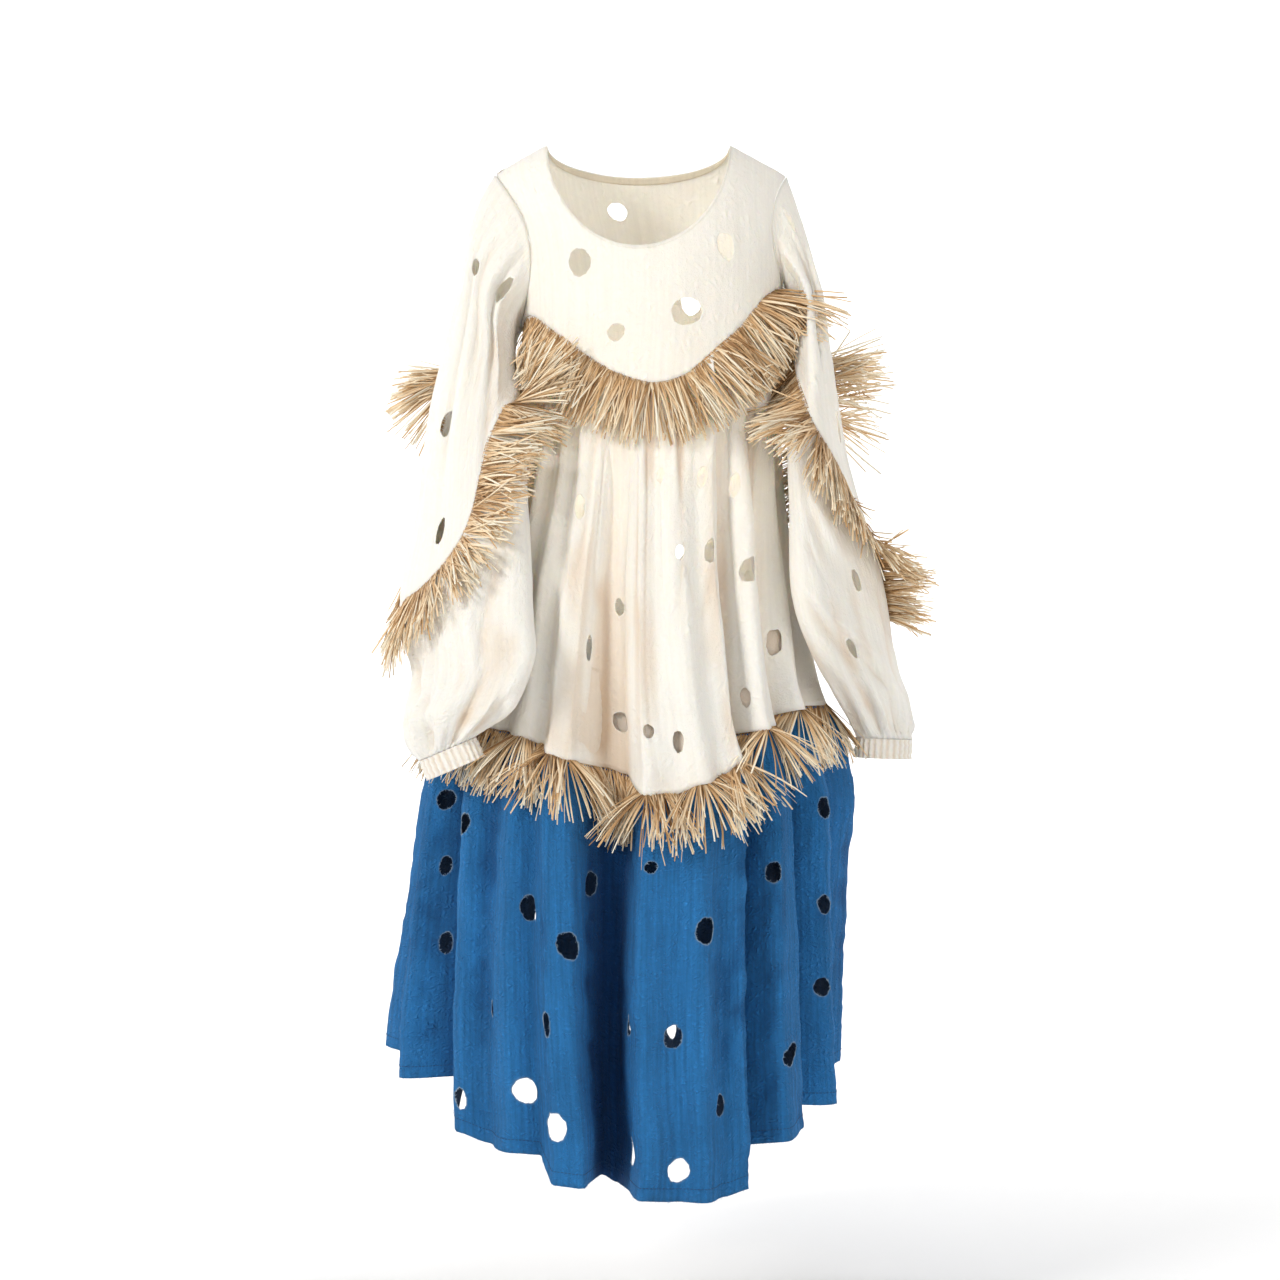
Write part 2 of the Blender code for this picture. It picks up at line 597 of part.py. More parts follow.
def fill(outline, holes, grid, clear):
    """Fill an outline with triangles, around its holes and through the grid points that stand clear."""
    loops = [outline] + holes
    points = []
    edges = []
    for loop in loops:
        first = len(points)
        points += loop
        edges += [(first + i, first + (i + 1) % len(loop)) for i in range(len(loop))]
    for point in grid:
        if not inside(point, outline) or any(inside(point, hole) for hole in holes):
            continue
        if far_from(point, outline, clear * 0.5) and all(far_from(point, hole, clear) for hole in holes):
            points.append(point)
    flat, _, faces = delaunay_2d_cdt([Vector(p) for p in points], edges, [], 0, 1e-8)[:3]
    kept = []
    for face in faces:
        middle = sum((flat[i] for i in face), Vector((0, 0))) / 3
        if inside(middle, outline) and not any(inside(middle, hole) for hole in holes):
            kept.append(list(face))
    used = sorted({i for face in kept for i in face})
    number = {old: new for new, old in enumerate(used)}
    return [tuple(flat[i]) for i in used], [[number[i] for i in face] for face in kept]


def material(name, colour, roughness):
    """A plain cloth finish."""
    finish = bpy.data.materials.get(name) or bpy.data.materials.new(name)
    finish.use_nodes = True
    shader = finish.node_tree.nodes["Principled BSDF"]
    shader.inputs["Base Color"].default_value = (*colour, 1)
    shader.inputs["Roughness"].default_value = roughness
    shader.inputs["Metallic"].default_value = 0.0
    return finish


def add_object(name, points, faces, finish):
    """An object of its own with the given mesh and finish."""
    mesh = bpy.data.meshes.new(name)
    mesh.from_pydata([tuple(p) for p in points], [], faces)
    mesh.materials.append(finish)
    mesh.update()
    made = bpy.data.objects.new(name, mesh)
    bpy.context.scene.collection.objects.link(made)
    return made


def sheet(name, surface, outline, holes, grid, scale, finish, hand=1, clear=0.005):
    """A cloth panel cut to an outline in the surface's own (across, down) places.

    scale gives the metres for one step across and one step down, so that the triangles come out even.
    """
    def flat(places):
        return [(across * scale[0], -down * scale[1]) for across, down in places]

    points, faces = fill(flat(outline), [flat(hole) for hole in holes], flat(grid), clear)
    across = np.array([x / scale[0] for x, _ in points])
    down = np.array([-y / scale[1] for _, y in points])
    if hand < 0:
        faces = [face[::-1] for face in faces]
    middle = surface(across, down)
    out = outward(surface, across, down, hand)
    rim = len(outline)
    out[rim:] = corner_normals(middle, faces)[rim:]
    return cloth(name, middle, out, faces, finish)


def corner_normals(points, faces):
    """The direction in which each point of a mesh of triangles looks, from the faces round it."""
    normals = np.zeros_like(points)
    for face in faces:
        for i in range(3):
            here, ahead, behind = points[face[i]], points[face[(i + 1) % 3]], points[face[i - 1]]
            normal = np.cross(ahead - here, behind - here)
            spread = np.linalg.norm(ahead - here) * np.linalg.norm(behind - here)
            angle = math.asin(min(1.0, np.linalg.norm(normal) / spread))
            if (ahead - here) @ (behind - here) < 0:
                angle = math.pi - angle
            normals[face[i]] += normal / np.linalg.norm(normal) * angle
    return normals / np.linalg.norm(normals, axis=1, keepdims=True)


def cloth(name, middle, out, faces, finish, thickness=WALL):
    """A cloth wall: a middle layer of faces that look out of the dress, thickened along out."""
    count = len(middle)
    points = np.concatenate([middle + out * thickness / 2, middle - out * thickness / 2])
    sides = {}
    for face in faces:
        for start, end in zip(face, face[1:] + face[:1]):
            sides[(start, end)] = True
    rims = [[end, start, start + count, end + count] for start, end in sides if (end, start) not in sides]
    inner = [[i + count for i in reversed(face)] for face in faces]
    made = add_object(name, points, faces + inner + rims, finish)
    made.data.shade_smooth()
    made.data.set_sharp_from_angle(angle=math.radians(50))
    MIDDLES.append((middle, faces))
    return made


def box_outline(columns, rows):
    """The outline of a panel whose edges follow its first and last column and row."""
    top = [(column, rows[0]) for column in columns]
    right = [(columns[-1], row) for row in rows[1:-1]]
    bottom = [(column, rows[-1]) for column in reversed(columns)]
    left = [(columns[0], row) for row in reversed(rows[1:-1])]
    return (bottom[::-1] + right[::-1] + top[::-1] + left[::-1])


def inner_grid(columns, rows):
    """The places inside a panel where its columns and rows cross."""
    return [(column, row) for column in columns[1:-1] for row in rows[1:-1]]


def beside_holes(holes, columns, rows, scale):
    """Places just above and below each hole on the columns that it cuts, so that folds run up to it."""
    clear = HOLE_MARGIN / scale[1]
    places = []
    for hole in holes:
        across = [place[0] for place in hole]
        down = [place[1] for place in hole]
        reach = 0.5 * (columns[2] - columns[1])
        for column in columns[1:-1]:
            if min(across) - reach < column < max(across) + reach:
                for row in (min(down) - clear, max(down) + clear):
                    if all(abs(row - other) > clear * 0.8 for other in rows):
                        places.append((column, row))
    return places


def find_place(surface, columns, rows, x, z, front):
    """The place on a surface that shows at x and z, from the front or from behind."""
    across, down = np.meshgrid(np.linspace(columns[0], columns[-1], 240), np.linspace(rows[0], rows[-1], 120))
    points = surface(across.ravel(), down.ravel())
    away = np.hypot(points[:, 0] - x, points[:, 2] - z)
    toward_back = points[:, 1] if front else -points[:, 1]
    best = np.argmin(away + 0.1 * (toward_back - toward_back.min()))
    return across.ravel()[best], down.ravel()[best]


def hole_outline(surface, place, hole, seed):
    """A torn round hole as places on a surface, of real size along the cloth."""
    spin = random.Random(seed)
    corners = 7 if hole.width < 0.02 else 9
    across = np.full(corners, float(place[0]))
    down = np.full(corners, float(place[1]))
    turn = np.linspace(0, 2 * math.pi, corners, endpoint=False)
    uneven = np.array([spin.uniform(0.92, 1.06) for _ in range(corners)])
    wide = hole.width / 2 * np.cos(turn) * uneven
    high = hole.height / 2 * np.sin(turn) * uneven
    tilt = math.radians(hole.tilt)
    right = wide * math.cos(tilt) - high * math.sin(tilt)
    up = wide * math.sin(tilt) + high * math.cos(tilt)
    steps = 8
    nudge = 1e-4
    for _ in range(steps):
        here = surface(across, down)
        for_across = np.linalg.norm(surface(across + nudge, down) - here, axis=-1) / nudge
        for_down = np.linalg.norm(surface(across, down + nudge) - here, axis=-1) / nudge
        across = across + right / steps / for_across
        down = down - up / steps / for_down
    return list(zip(across, down))


def panel(name, surface, columns, rows, scale, finish, hand=1):
    """A four-sided cloth panel between its first and last column and row, with its holes."""
    front = not name.endswith("back")
    holes = []
    for number, hole in enumerate(HOLES.get(name, [])):
        place = find_place(surface, columns, rows, hole.x, hole.z, front)
        holes.append(hole_outline(surface, place, hole, number))
    outline = box_outline(columns, rows)
    grid = inner_grid(columns, rows) + beside_holes(holes, columns, rows, scale)
    return sheet(name, surface, outline, holes, grid, scale, finish, hand)


def body_columns(first, last):
    """The fold lines that a body panel's points lie on, kept off its neighbours at both sides."""
    count = (last - first) * COLUMNS_PER_FOLD
    places = [first + i / COLUMNS_PER_FOLD for i in range(count + 1)]
    return [first + BODY_SIDE_GAP] + places[1:-1] + [last - BODY_SIDE_GAP]


def angle_at(x, z, front):
    """The angle round the smooth body at which x is reached at height z."""
    mid_x, half_x, _, _ = body_form(z)
    angle = np.degrees(np.arcsin(np.clip((x - mid_x) / half_x, -1, 1)))
    return angle if front else 180 - angle


def neck_edge(front, count):
    """The neck edge as (angle, fall) places, from the left shoulder to the right one."""
    drop = FRONT_NECK_DROP if front else BACK_NECK_DROP
    turns = np.linspace(-math.pi / 2, math.pi / 2, count)
    x = NECK_HALF_WIDTH * np.sin(turns)
    z = np.minimum(-drop * np.cos(turns), -1e-4)
    angle = angle_at(x, z, front)
    return list(zip(angle, yoke_fall(angle, z)))


def shoulder_edge(angles):
    """The shoulder seam as (angle, fall) places, half the seam's gap short of the other panel."""
    return [(angle, SEAM_GAP / 2 / abs(math.cos(math.radians(angle)))) for angle in angles]


def armhole_edge(side, front, turns):
    """One edge of the armhole as (angle, fall) places."""
    angle, z = armhole_place(side, turns if front else -turns)
    if not front:
        angle = np.where(angle < 0, angle + 360, angle)
    return list(zip(angle, yoke_fall(angle, z)))


def yoke_panel(front):
    """The yoke's front or back, from the shoulder seams to the fringed seam."""
    first, last = (0, RIGHT_SIDE_FOLD) if front else (RIGHT_SIDE_FOLD, len(FOLDS))
    near_neck = 41
    near_armhole = 83
    shoulder = np.linspace(near_armhole, near_neck, 4)
    turns = np.linspace(14, 176, 11)
    seam = []
    for place in body_columns(first, last):
        angle = float(fold_angle(place, TOP_LEVEL))
        z = yoke_seam_z(angle) + SEAM_GAP
        seam.append((angle, float(yoke_fall(angle, z))))
    neck = neck_edge(front, FRONT_NECK_POINTS if front else BACK_NECK_POINTS)[1:-1]
    if front:
        left_side = armhole_edge(-1, True, turns)[::-1]
        right_side = armhole_edge(1, True, turns)
        left_shoulder = shoulder_edge(-shoulder)
        right_shoulder = shoulder_edge(shoulder[::-1])
        edge = left_side + left_shoulder + neck + right_shoulder + right_side + seam[::-1]
    else:
        right_side = armhole_edge(1, False, turns)[::-1]
        left_side = armhole_edge(-1, False, turns)
        right_shoulder = shoulder_edge(180 - shoulder)
        left_shoulder = shoulder_edge(180 + shoulder[::-1])
        edge = right_side + right_shoulder + neck[::-1] + left_shoulder + left_side + seam[::-1]
    scale = (0.003, 1.0)
    name = "yoke_front" if front else "yoke_back"
    low, high = (-84, 84) if front else (96, 264)
    grid = [(angle, fall) for angle in np.linspace(low, high, 19) for fall in np.arange(0.018, 0.42, 0.026)]
    edge = [(float(angle), float(fall)) for angle, fall in edge]
    holes = []
    for number, hole in enumerate(HOLES[name]):
        place = find_place(yoke_surface, (low, high), (0.0, 0.40), hole.x, hole.z, front)
        holes.append(hole_outline(yoke_surface, place, hole, number))
    return sheet(name, yoke_surface, edge[::-1], holes, grid, scale, material(*CREAM))


def neck_facing():
    """The narrow tape inside the back neck."""
    edge = np.array(neck_edge(False, BACK_NECK_POINTS)[1:-1])
    angle = np.concatenate([edge[:, 0], edge[:, 0]])
    fall = np.concatenate([edge[:, 1] + SEAM_GAP, edge[:, 1] + FACING_HEIGHT])
    out = outward(yoke_surface, angle, fall, 1)
    points = yoke_surface(angle, fall) - out * (WALL / 2 + FACING_EASE + FACING_THICKNESS / 2)
    count = len(edge)
    faces = [[i, i + 1, count + i + 1, count + i] for i in range(count - 1)]
    return cloth("neck_facing", points, out, faces, material(*TAPE), FACING_THICKNESS)


def outward(surface, across, down, hand):
    """The direction that looks out of the dress at a place on a surface."""
    nudge = 1e-4
    over = surface(across + nudge, down) - surface(across - nudge, down)
    fall = surface(across, down + nudge) - surface(across, down - nudge)
    out = np.cross(fall, over) * hand
    return out / np.linalg.norm(out, axis=-1, keepdims=True)


class Sleeve:
    """One sleeve: its surface, its fringed seam, and the columns that both of its pieces share."""

    def __init__(self, name, side, rings, seam, creases, fringe_from, fringe_to):
        self.name = name
        self.fringe_from = fringe_from
        self.fringe_to = fringe_to
        self.side = side
        self.rings = rings
        self.seam = seam
        self.creases = creases
        self.hand = -side
        self.columns = self.even_columns(SLEEVE_COLUMNS)

    def point(self, turn, section):
        """A point of the sleeve."""
        return sleeve_surface(self.side, self.rings, self.creases, turn, section)

    def seam_section(self, turn):
        """How far down the sleeve the seam is at a turn."""
        return ring_curve(self.seam, turn)

    def even_columns(self, count):
        """Turns that divide the front and the back half of the seam evenly, each half by itself."""
        columns = []
        for start in (0, 180):
            fine = np.linspace(start, start + 180, 400)
            along = self.point(fine, self.seam_section(fine))
            length = np.concatenate([[0], np.cumsum(np.linalg.norm(np.diff(along, axis=0), axis=1))])
            share = length / length[-1] + (fine - start) / 180
            columns += list(np.interp(np.linspace(0, 2, count // 2 + 1), share, fine)[:-1])
        return columns + [360.0]

    def half(self, front):
        """The columns of the front or back half, kept off the other half."""
        middle = len(self.columns) // 2
        chosen = self.columns[:middle + 1] if front else self.columns[middle:]
        return [chosen[0] + SLEEVE_SIDE_GAP] + chosen[1:-1] + [chosen[-1] - SLEEVE_SIDE_GAP]

    def upper(self, turn, share):
        """The upper sleeve: share 0 is the armhole and 1 the fringed seam.

        At the pointed top of the armhole the two halves stand a little further apart.
        """
        section = self.seam_section(turn) * share
        off_top = (turn + 180) % 360 - 180
        gap = SHOULDER_TIP_GAP * np.clip(1 - section / 0.5, 0, 1) ** 2
        turn = turn - off_top + np.sign(off_top) * (gap + np.abs(off_top) * (1 - gap / 180))
        return self.point(turn, section)

    def lower(self, turn, share):
        """The lower sleeve: share 0 is the fringed seam and 1 the cuff."""
        start = self.seam_section(turn)
        steep = (self.seam_section(turn + 1) - self.seam_section(turn - 1)) / 2 * DEGREES_PER_SECTION
        seam_gap = SLEEVE_SEAM_GAP * np.sqrt(1 + steep ** 2)
        return self.point(turn, start + seam_gap + (len(self.rings) - start - seam_gap) * share)

    def build(self):
        """All the sleeve's cloth."""
        for front in (True, False):
            end = "front" if front else "back"
            columns = self.half(front)
            upper_rows = list(np.linspace(0, 1, 6))
            lower_rows = [0.0, 0.1, 0.3, 0.5, 0.7, 0.87, 1.0]
            cream = material(*CREAM)
            upper, lower = f"sleeve_{self.name}_{end}", f"puff_{self.name}_{end}"
            panel(upper, self.upper, columns, upper_rows, (0.0015, 0.25), cream, self.hand)
            panel(lower, self.lower, columns, lower_rows, (0.0015, 0.35), cream, self.hand)
        self.cuff()

    def cuff(self):
        """The elastic cuff: ribs outside and plain inside."""
        last = self.rings[-1]
        count = CUFF_RIBS * 2
        turns = np.linspace(0, 360, count, endpoint=False)
        top = ring_points(last, turns)
        across = top[0] - top[count // 2]
        front = top[count // 4] - top[3 * count // 4]
        down = np.cross(across, front)
        down *= -np.sign(down[2]) / np.linalg.norm(down)
        centre = top.mean(axis=0)
        gap = CUFF_GAP
        ribs = np.where(np.arange(count) % 2 == 0, CUFF_RIB_OUT, 0.0)[:, None]
        rings = []
        for reach in (gap, CUFF_HEIGHT):
            middle = top + down * reach
            out = middle - (centre + down * reach)
            out /= np.linalg.norm(out, axis=1, keepdims=True)
            rings.append(middle + out * (WALL / 2 + ribs))
            rings.append(middle - out * WALL / 2)
        points = np.concatenate(rings)
        faces = []
        for i in range(count):
            j = (i + 1) % count
            for a, b in ((0, 2), (2, 3), (3, 1), (1, 0)):
                face = [a * count + i, a * count + j, b * count + j, b * count + i]
                faces.append(face[::-1] if self.side < 0 else face)
        add_object(f"cuff_{self.name}", points, faces, material(*CREAM))
        MIDDLES.append((points, faces))


def fringe(name, surface, path, places, hand, make):
    """Flat raffia locks that hang from a narrow strip along a path on a surface.

    places are the ends of the locks along the path. Each lock is turned out until it clears the walls
    and the fringes before it, and where there is no room for one the strip is bare.
    """
    spin = random.Random(make.seed)
    nudge = 1e-3
    places = np.asarray(places, float)
    across, down = path(places)
    here = surface(across, down)
    out = outward(surface, across, down, hand)
    ahead = surface(*path(places + nudge)) - surface(*path(places - nudge))
    drop = surface(across, down + nudge) - surface(across, down - nudge)
    square = np.cross(out, ahead)
    fall = drop if make.along_cloth else square * np.sign((square * drop).sum(axis=1))[:, None]
    fall /= np.linalg.norm(fall, axis=1)[:, None]
    walls = wall_tree()
    upper = laid_on(walls, here - fall * STRIP_WIDTH / 2) + out * make.lift
    lower = laid_on(walls, here + fall * STRIP_WIDTH / 2) + out * make.lift
    strip = np.stack([upper, lower, lower + out * STRIP_THICKNESS], axis=1)
    points = list(strip.reshape(-1, 3))
    count = len(places)
    prisms = []
    for i in range(count - 1):
        corners = np.concatenate([strip[i], strip[i + 1]])
        prisms.append((corners, [[0, 1, 2], [3, 4, 5], [0, 1, 4, 3], [1, 2, 5, 4], [2, 0, 3, 5]]))
    locks = []
    boxes = []
    for i in range(count - 1):
        j = i + 1
        root = (lower[i], lower[j])
        length = make.length * spin.uniform(0.88, 1.04)
        beside = (i - 1, i, i + 1)
        strips = [prism for number, prism in enumerate(prisms) if number not in beside]
        locks.append(lock_tip(root, out[i] + out[j], fall[i] + fall[j], length, make, walls, boxes, strips))
    faces = []
    for i, tip in enumerate(locks):
        j = i + 1
        a, b, c = 3 * i, 3 * i + 1, 3 * i + 2
        d, e, f = 3 * j, 3 * j + 1, 3 * j + 2
        faces.append([a, c, f, d])
        faces.append([a, d, e, b])
        if tip is None:
            faces.append([b, e, f, c])
            continue
        p, q, r, s = range(len(points), len(points) + 4)
        points += tip
        faces += [[b, e, q, p], [e, f, r, q], [f, c, s, r], [c, b, p, s], [p, q, r, s]]
    faces += [[0, 1, 2], [3 * count - 3, 3 * count - 1, 3 * count - 2]]
    if hand < 0:
        faces = [face[::-1] for face in faces]
    MIDDLES.append((np.array(points), faces))
    return add_object(name, points, faces, material(*RAFFIA))


def laid_on(walls, points):
    """The places on the cloth's middle layers that are nearest to points."""
    return np.array([walls.find_nearest(Vector(point))[0] for point in points])


def lock_tip(root, out, fall, length, make, walls, boxes, strips):
    """The four corners of a lock's end, or None where there is no room for the lock.

    boxes holds the space that the fringe's earlier locks take up, and a lock that fits is added to it.
    """
    out = out / np.linalg.norm(out)
    fall = fall / np.linalg.norm(fall)
    fall = fall * (1 - make.droop) + np.array([0, 0, -make.droop])
    fall /= np.linalg.norm(fall)
    side = (root[1] - root[0]) / 2
    middle = (root[0] + root[1]) / 2
    others = tree_of(boxes + strips)
    for turn_out in np.arange(make.slope, make.most_slope, LOCK_TURN_STEP):
        way = fall + out * turn_out
        tip = middle + way / np.linalg.norm(way) * length
        corners = [tip - side * TIP_SHARE, tip + side * TIP_SHARE]
        box = lock_box(root, corners, out, LOCK_FREE_FROM, LOCK_CLEARANCE, 0.0)
        room = WALL / 2 + LOCK_CLEARANCE
        roomy = lock_box(root, corners, out, LOCK_CLEAR_FROM, room, room)
        if tree_of([roomy]).overlap(walls) or tree_of([box]).overlap(others):
            continue
        boxes.append(box)
        return corners + [corners[1] + out * LOCK_THICKNESS, corners[0] + out * LOCK_THICKNESS]
    return None


def lock_box(root, corners, out, start, spare, beside):
    """The space of a lock from a share of its length below its root.

    spare is the room left above and below it, and beside the room at its two sides.
    """
    near = [root[i] + (corners[i] - root[i]) * start for i in (0, 1)]
    wide = (root[1] - root[0]) / np.linalg.norm(root[1] - root[0]) * beside
    ends = [near[0] - wide, near[1] + wide, corners[1] + wide, corners[0] - wide]
    below = [end - out * spare for end in ends]
    above = [end + out * (LOCK_THICKNESS + spare) for end in ends]
    faces = [[0, 1, 2, 3], [4, 5, 6, 7], [0, 1, 5, 4], [1, 2, 6, 5], [2, 3, 7, 6], [3, 0, 4, 7]]
    return below + above, faces


def clear_scene():
    """Remove whatever the scene starts with."""
    for item in list(bpy.data.objects):
        bpy.data.objects.remove(item, do_unlink=True)


def wall_tree():
    """A search tree of all the cloth and the fringes made so far."""
    return tree_of(MIDDLES)


def tree_of(meshes):
    """A search tree of several meshes, each given as its points and faces."""
    points = []
    faces = []
    for mesh_points, mesh_faces in meshes:
        first = len(points)
        points += [Vector(place) for place in mesh_points]
        faces += [[first + i for i in face] for face in mesh_faces]
    return BVHTree.FromPolygons(points, faces)


def main():
    """Build every piece of the dress."""
    clear_scene()
    cream = material(*CREAM)
    blue = material(*BLUE)
    yoke_panel(True)
    yoke_panel(False)
    halves = (("front", 0, RIGHT_SIDE_FOLD), ("back", RIGHT_SIDE_FOLD, len(FOLDS)))
    tier_rows = [0.0, 0.07, 0.18, 0.34, 0.52, 0.70, 0.86, 0.9988]
    skirt_rows = [0.0012, 0.16, 0.36, 0.56, 0.78, 1.0]
    for end, first, last in halves:
        columns = body_columns(first, last)
        panel(f"tier_{end}", tier_surface, columns, tier_rows, (0.070, 0.50), cream)
        panel(f"skirt_{end}", skirt_surface, columns, skirt_rows, (0.085, 0.48), blue)
    left = Sleeve("left", -1, LEFT_RINGS, LEFT_SEAM, LEFT_CREASES, 210, 150)
    right = Sleeve("right", 1, RIGHT_RINGS, RIGHT_SEAM, RIGHT_CREASES, 210, 165)
    left.build()
    right.build()
    neck_facing()

    def yoke_path(place):
        angle = fold_angle(place, TOP_LEVEL)
        return angle, yoke_fall(angle, yoke_seam_z(angle))

    step = 1 / COLUMNS_PER_FOLD
    front_places = np.arange(2, 21.01, 2 * step)
    back_places = np.arange(24 + step, 34.01, 2 * step)
    fringe("fringe_yoke_front", yoke_surface, yoke_path, front_places, 1, YOKE_HANG)
    fringe("fringe_yoke_back", yoke_surface, yoke_path, back_places, 1, BACK_HANG)

    def hem_path(place):
        return place, np.ones_like(place)

    for end, first, last in halves:
        places = body_columns(first, last)
        fringe(f"fringe_hem_{end}", tier_surface, hem_path, places, 1, HEM_HANG)
    for sleeve in (left, right):
        def seam_path(place, sleeve=sleeve):
            return place, sleeve.seam_section(place)

        name = f"fringe_sleeve_{sleeve.name}"
        first = sleeve.fringe_from
        shown = [turn for turn in sleeve.columns if turn >= first]
        shown += [turn + 360 for turn in sleeve.columns if 0 < turn <= sleeve.fringe_to]
        hang = LEFT_SLEEVE_HANG if sleeve is left else RIGHT_SLEEVE_HANG
        fringe(name, sleeve.point, seam_path, shown, sleeve.hand, hang)


main()
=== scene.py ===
"""The raffia maxi dress, dressed: fine cloth with torn holes, raffia strands and soft studio light.

The cloth follows the forms of the CAD solids, from the same tables and in the same frame: +X to the
right as seen from the front, -Y out of the front and +Z up, in metres.
"""
import logging
import math
import random
from collections.abc import Callable, Sequence
from dataclasses import dataclass, field
from enum import Enum, IntEnum
from functools import cache
from typing import Any

import bpy
import numpy as np
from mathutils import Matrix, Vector
from mathutils.bvhtree import BVHTree
from mathutils.geometry import delaunay_2d_cdt


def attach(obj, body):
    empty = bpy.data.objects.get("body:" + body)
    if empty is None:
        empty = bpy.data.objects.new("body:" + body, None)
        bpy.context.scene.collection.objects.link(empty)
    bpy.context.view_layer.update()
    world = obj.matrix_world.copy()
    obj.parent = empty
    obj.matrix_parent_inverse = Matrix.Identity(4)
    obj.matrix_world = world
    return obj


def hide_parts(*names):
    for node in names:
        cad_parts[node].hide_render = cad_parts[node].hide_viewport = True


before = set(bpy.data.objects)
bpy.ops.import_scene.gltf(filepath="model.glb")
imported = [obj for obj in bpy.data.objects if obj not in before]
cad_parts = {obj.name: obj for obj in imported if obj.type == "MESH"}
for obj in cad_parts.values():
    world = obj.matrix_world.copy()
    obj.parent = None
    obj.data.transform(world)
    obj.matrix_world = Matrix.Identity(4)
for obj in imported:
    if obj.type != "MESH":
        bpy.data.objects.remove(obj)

log = logging.getLogger("raffia_dress")

Array = np.ndarray
Surface = Callable[[Array, Array], Array]
Table = Sequence[tuple[float, ...]]
Point = Colour = tuple[float, float, float]
Socket = bpy.types.NodeSocket

SHELL = 0.0009  # how thick the cloth is
TOP_LEVEL, TIER_LEVEL, HEM_LEVEL = -0.38, -0.79, -1.25  # the three heights of the fold table
FRONT_FOLDS, BACK_FOLDS = (0.008, 22.992), (23.008, 34.992)  # the fold lines between the side seams
NUDGE = 1e-3  # a small step along a surface, for directions
NO_TRIANGLES = np.zeros((0, 3), int)  # for a mesh of four-sided faces
DOWN = np.array([0.0, 0.0, -1.0])
FLIP = np.array([1, -1])  # turns a flat height into a distance down, and back
ROOT_BODY = "root"


def curve(knots: Array, values: Array, at: Array) -> Array:
    """Read the smooth curve through knots and values.

    Args:
        knots: Rising places of the readings.
        values: The reading at each knot.
        at: The places to read, level beyond the ends.

    Returns:
        The value at each place.
    """
    knots, values = np.asarray(knots, float), np.asarray(values, float)
    at = np.clip(np.asarray(at, float), knots[0], knots[-1])
    slopes = np.gradient(values, knots)
    cell = np.clip(np.searchsorted(knots, at, side="right") - 1, 0, len(knots) - 2)
    width = knots[cell + 1] - knots[cell]
    f = (at - knots[cell]) / width
    start = (1 + 2 * f) * (1 - f) ** 2 * values[cell] + f * (1 - f) ** 2 * width * slopes[cell]
    end = f * f * (3 - 2 * f) * values[cell + 1] + f * f * (f - 1) * width * slopes[cell + 1]
    return start + end


def ring_curve(rows: Table, at: Array) -> Array:
    """Read a curve that closes on itself after a full turn.

    Args:
        rows: Pairs of degrees and value.
        at: The angles to read, in degrees.

    Returns:
        The value at each angle.
    """
    before = [(angle - 360, value) for angle, value in rows[-3:]]
    after = [(angle + 360, value) for angle, value in rows[:3]]
    angles, values = zip(*before, *rows, *after)
    turned = (np.asarray(at, float) - rows[0][0]) % 360 + rows[0][0]
    return curve(angles, values, turned)


def soft_step(value: Array) -> Array:
    """Rise smoothly from 0 to 1 as value goes from 0 to 1."""
    value = np.clip(value, 0, 1)
    return value * value * (3 - 2 * value)


def half_cosine(value: Array) -> Array:
    """Go from 0 to 1 along half a cosine wave."""
    return (1 - np.cos(math.pi * value)) / 2


def lattice_noise(u: Array, v: Array, seed: int) -> Array:
    """Smooth uneven relief over a plane.

    Args:
        u: First coordinate, one step for each bump.
        v: Second coordinate.
        seed: Chooses one of many patterns.

    Returns:
        Values from -1 to 1.
    """
    size = 64
    table = np.random.default_rng(seed).uniform(-1, 1, (size, size))
    low_u, low_v = np.floor(u).astype(int), np.floor(v).astype(int)
    f, g = soft_step(u - low_u), soft_step(v - low_v)

    def pick(step_u: int, step_v: int) -> Array:
        """The lattice value at one corner of each cell."""
        return table[(low_u + step_u) % size, (low_v + step_v) % size]

    near = pick(0, 0) * (1 - f) + pick(1, 0) * f
    far = pick(0, 1) * (1 - f) + pick(1, 1) * f
    return near * (1 - g) + far * g


def unit(vectors: Array) -> Array:
    """Vectors brought to length 1."""
    return vectors / np.maximum(np.linalg.norm(vectors, axis=-1, keepdims=True), 1e-12)


def run_length(points: Array) -> Array:
    """How far along a path each of its points is."""
    return np.concatenate([[0], np.cumsum(np.linalg.norm(np.diff(points, axis=0), axis=1))])


def read_path(at: Array, length: Array, points: Array) -> Array:
    """A path's points, or values of the same shape, at distances along it."""
    return np.stack([np.interp(at, length, points[:, k]) for k in range(3)], axis=-1)


def outward(surface: Surface, across: Array, down: Array, hand: int) -> Array:
    """The direction that looks out of the dress at places on a surface.

    Args:
        surface: The surface.
        across: First coordinates on the surface.
        down: Second coordinates on the surface.
        hand: -1 where the coordinates run the other way round, or else 1.

    Returns:
        A unit vector for each place.
    """
    over = surface(across + NUDGE, down) - surface(across - NUDGE, down)
    drop = surface(across, down + NUDGE) - surface(across, down - NUDGE)
    return unit(np.cross(drop, over) * hand)


def full(places: Array, value: float) -> Array:
    """One value for each place."""
    return np.full(len(places), value)


class Fold(IntEnum):
    """The columns of the fold table."""

    TOP_ANGLE = 0
    TIER_ANGLE = 1
    HEM_ANGLE = 2
    TOP_OUT = 3
    TIER_OUT = 4
    HEM_OUT = 5
    TIER_Z = 6
    HEM_Z = 7


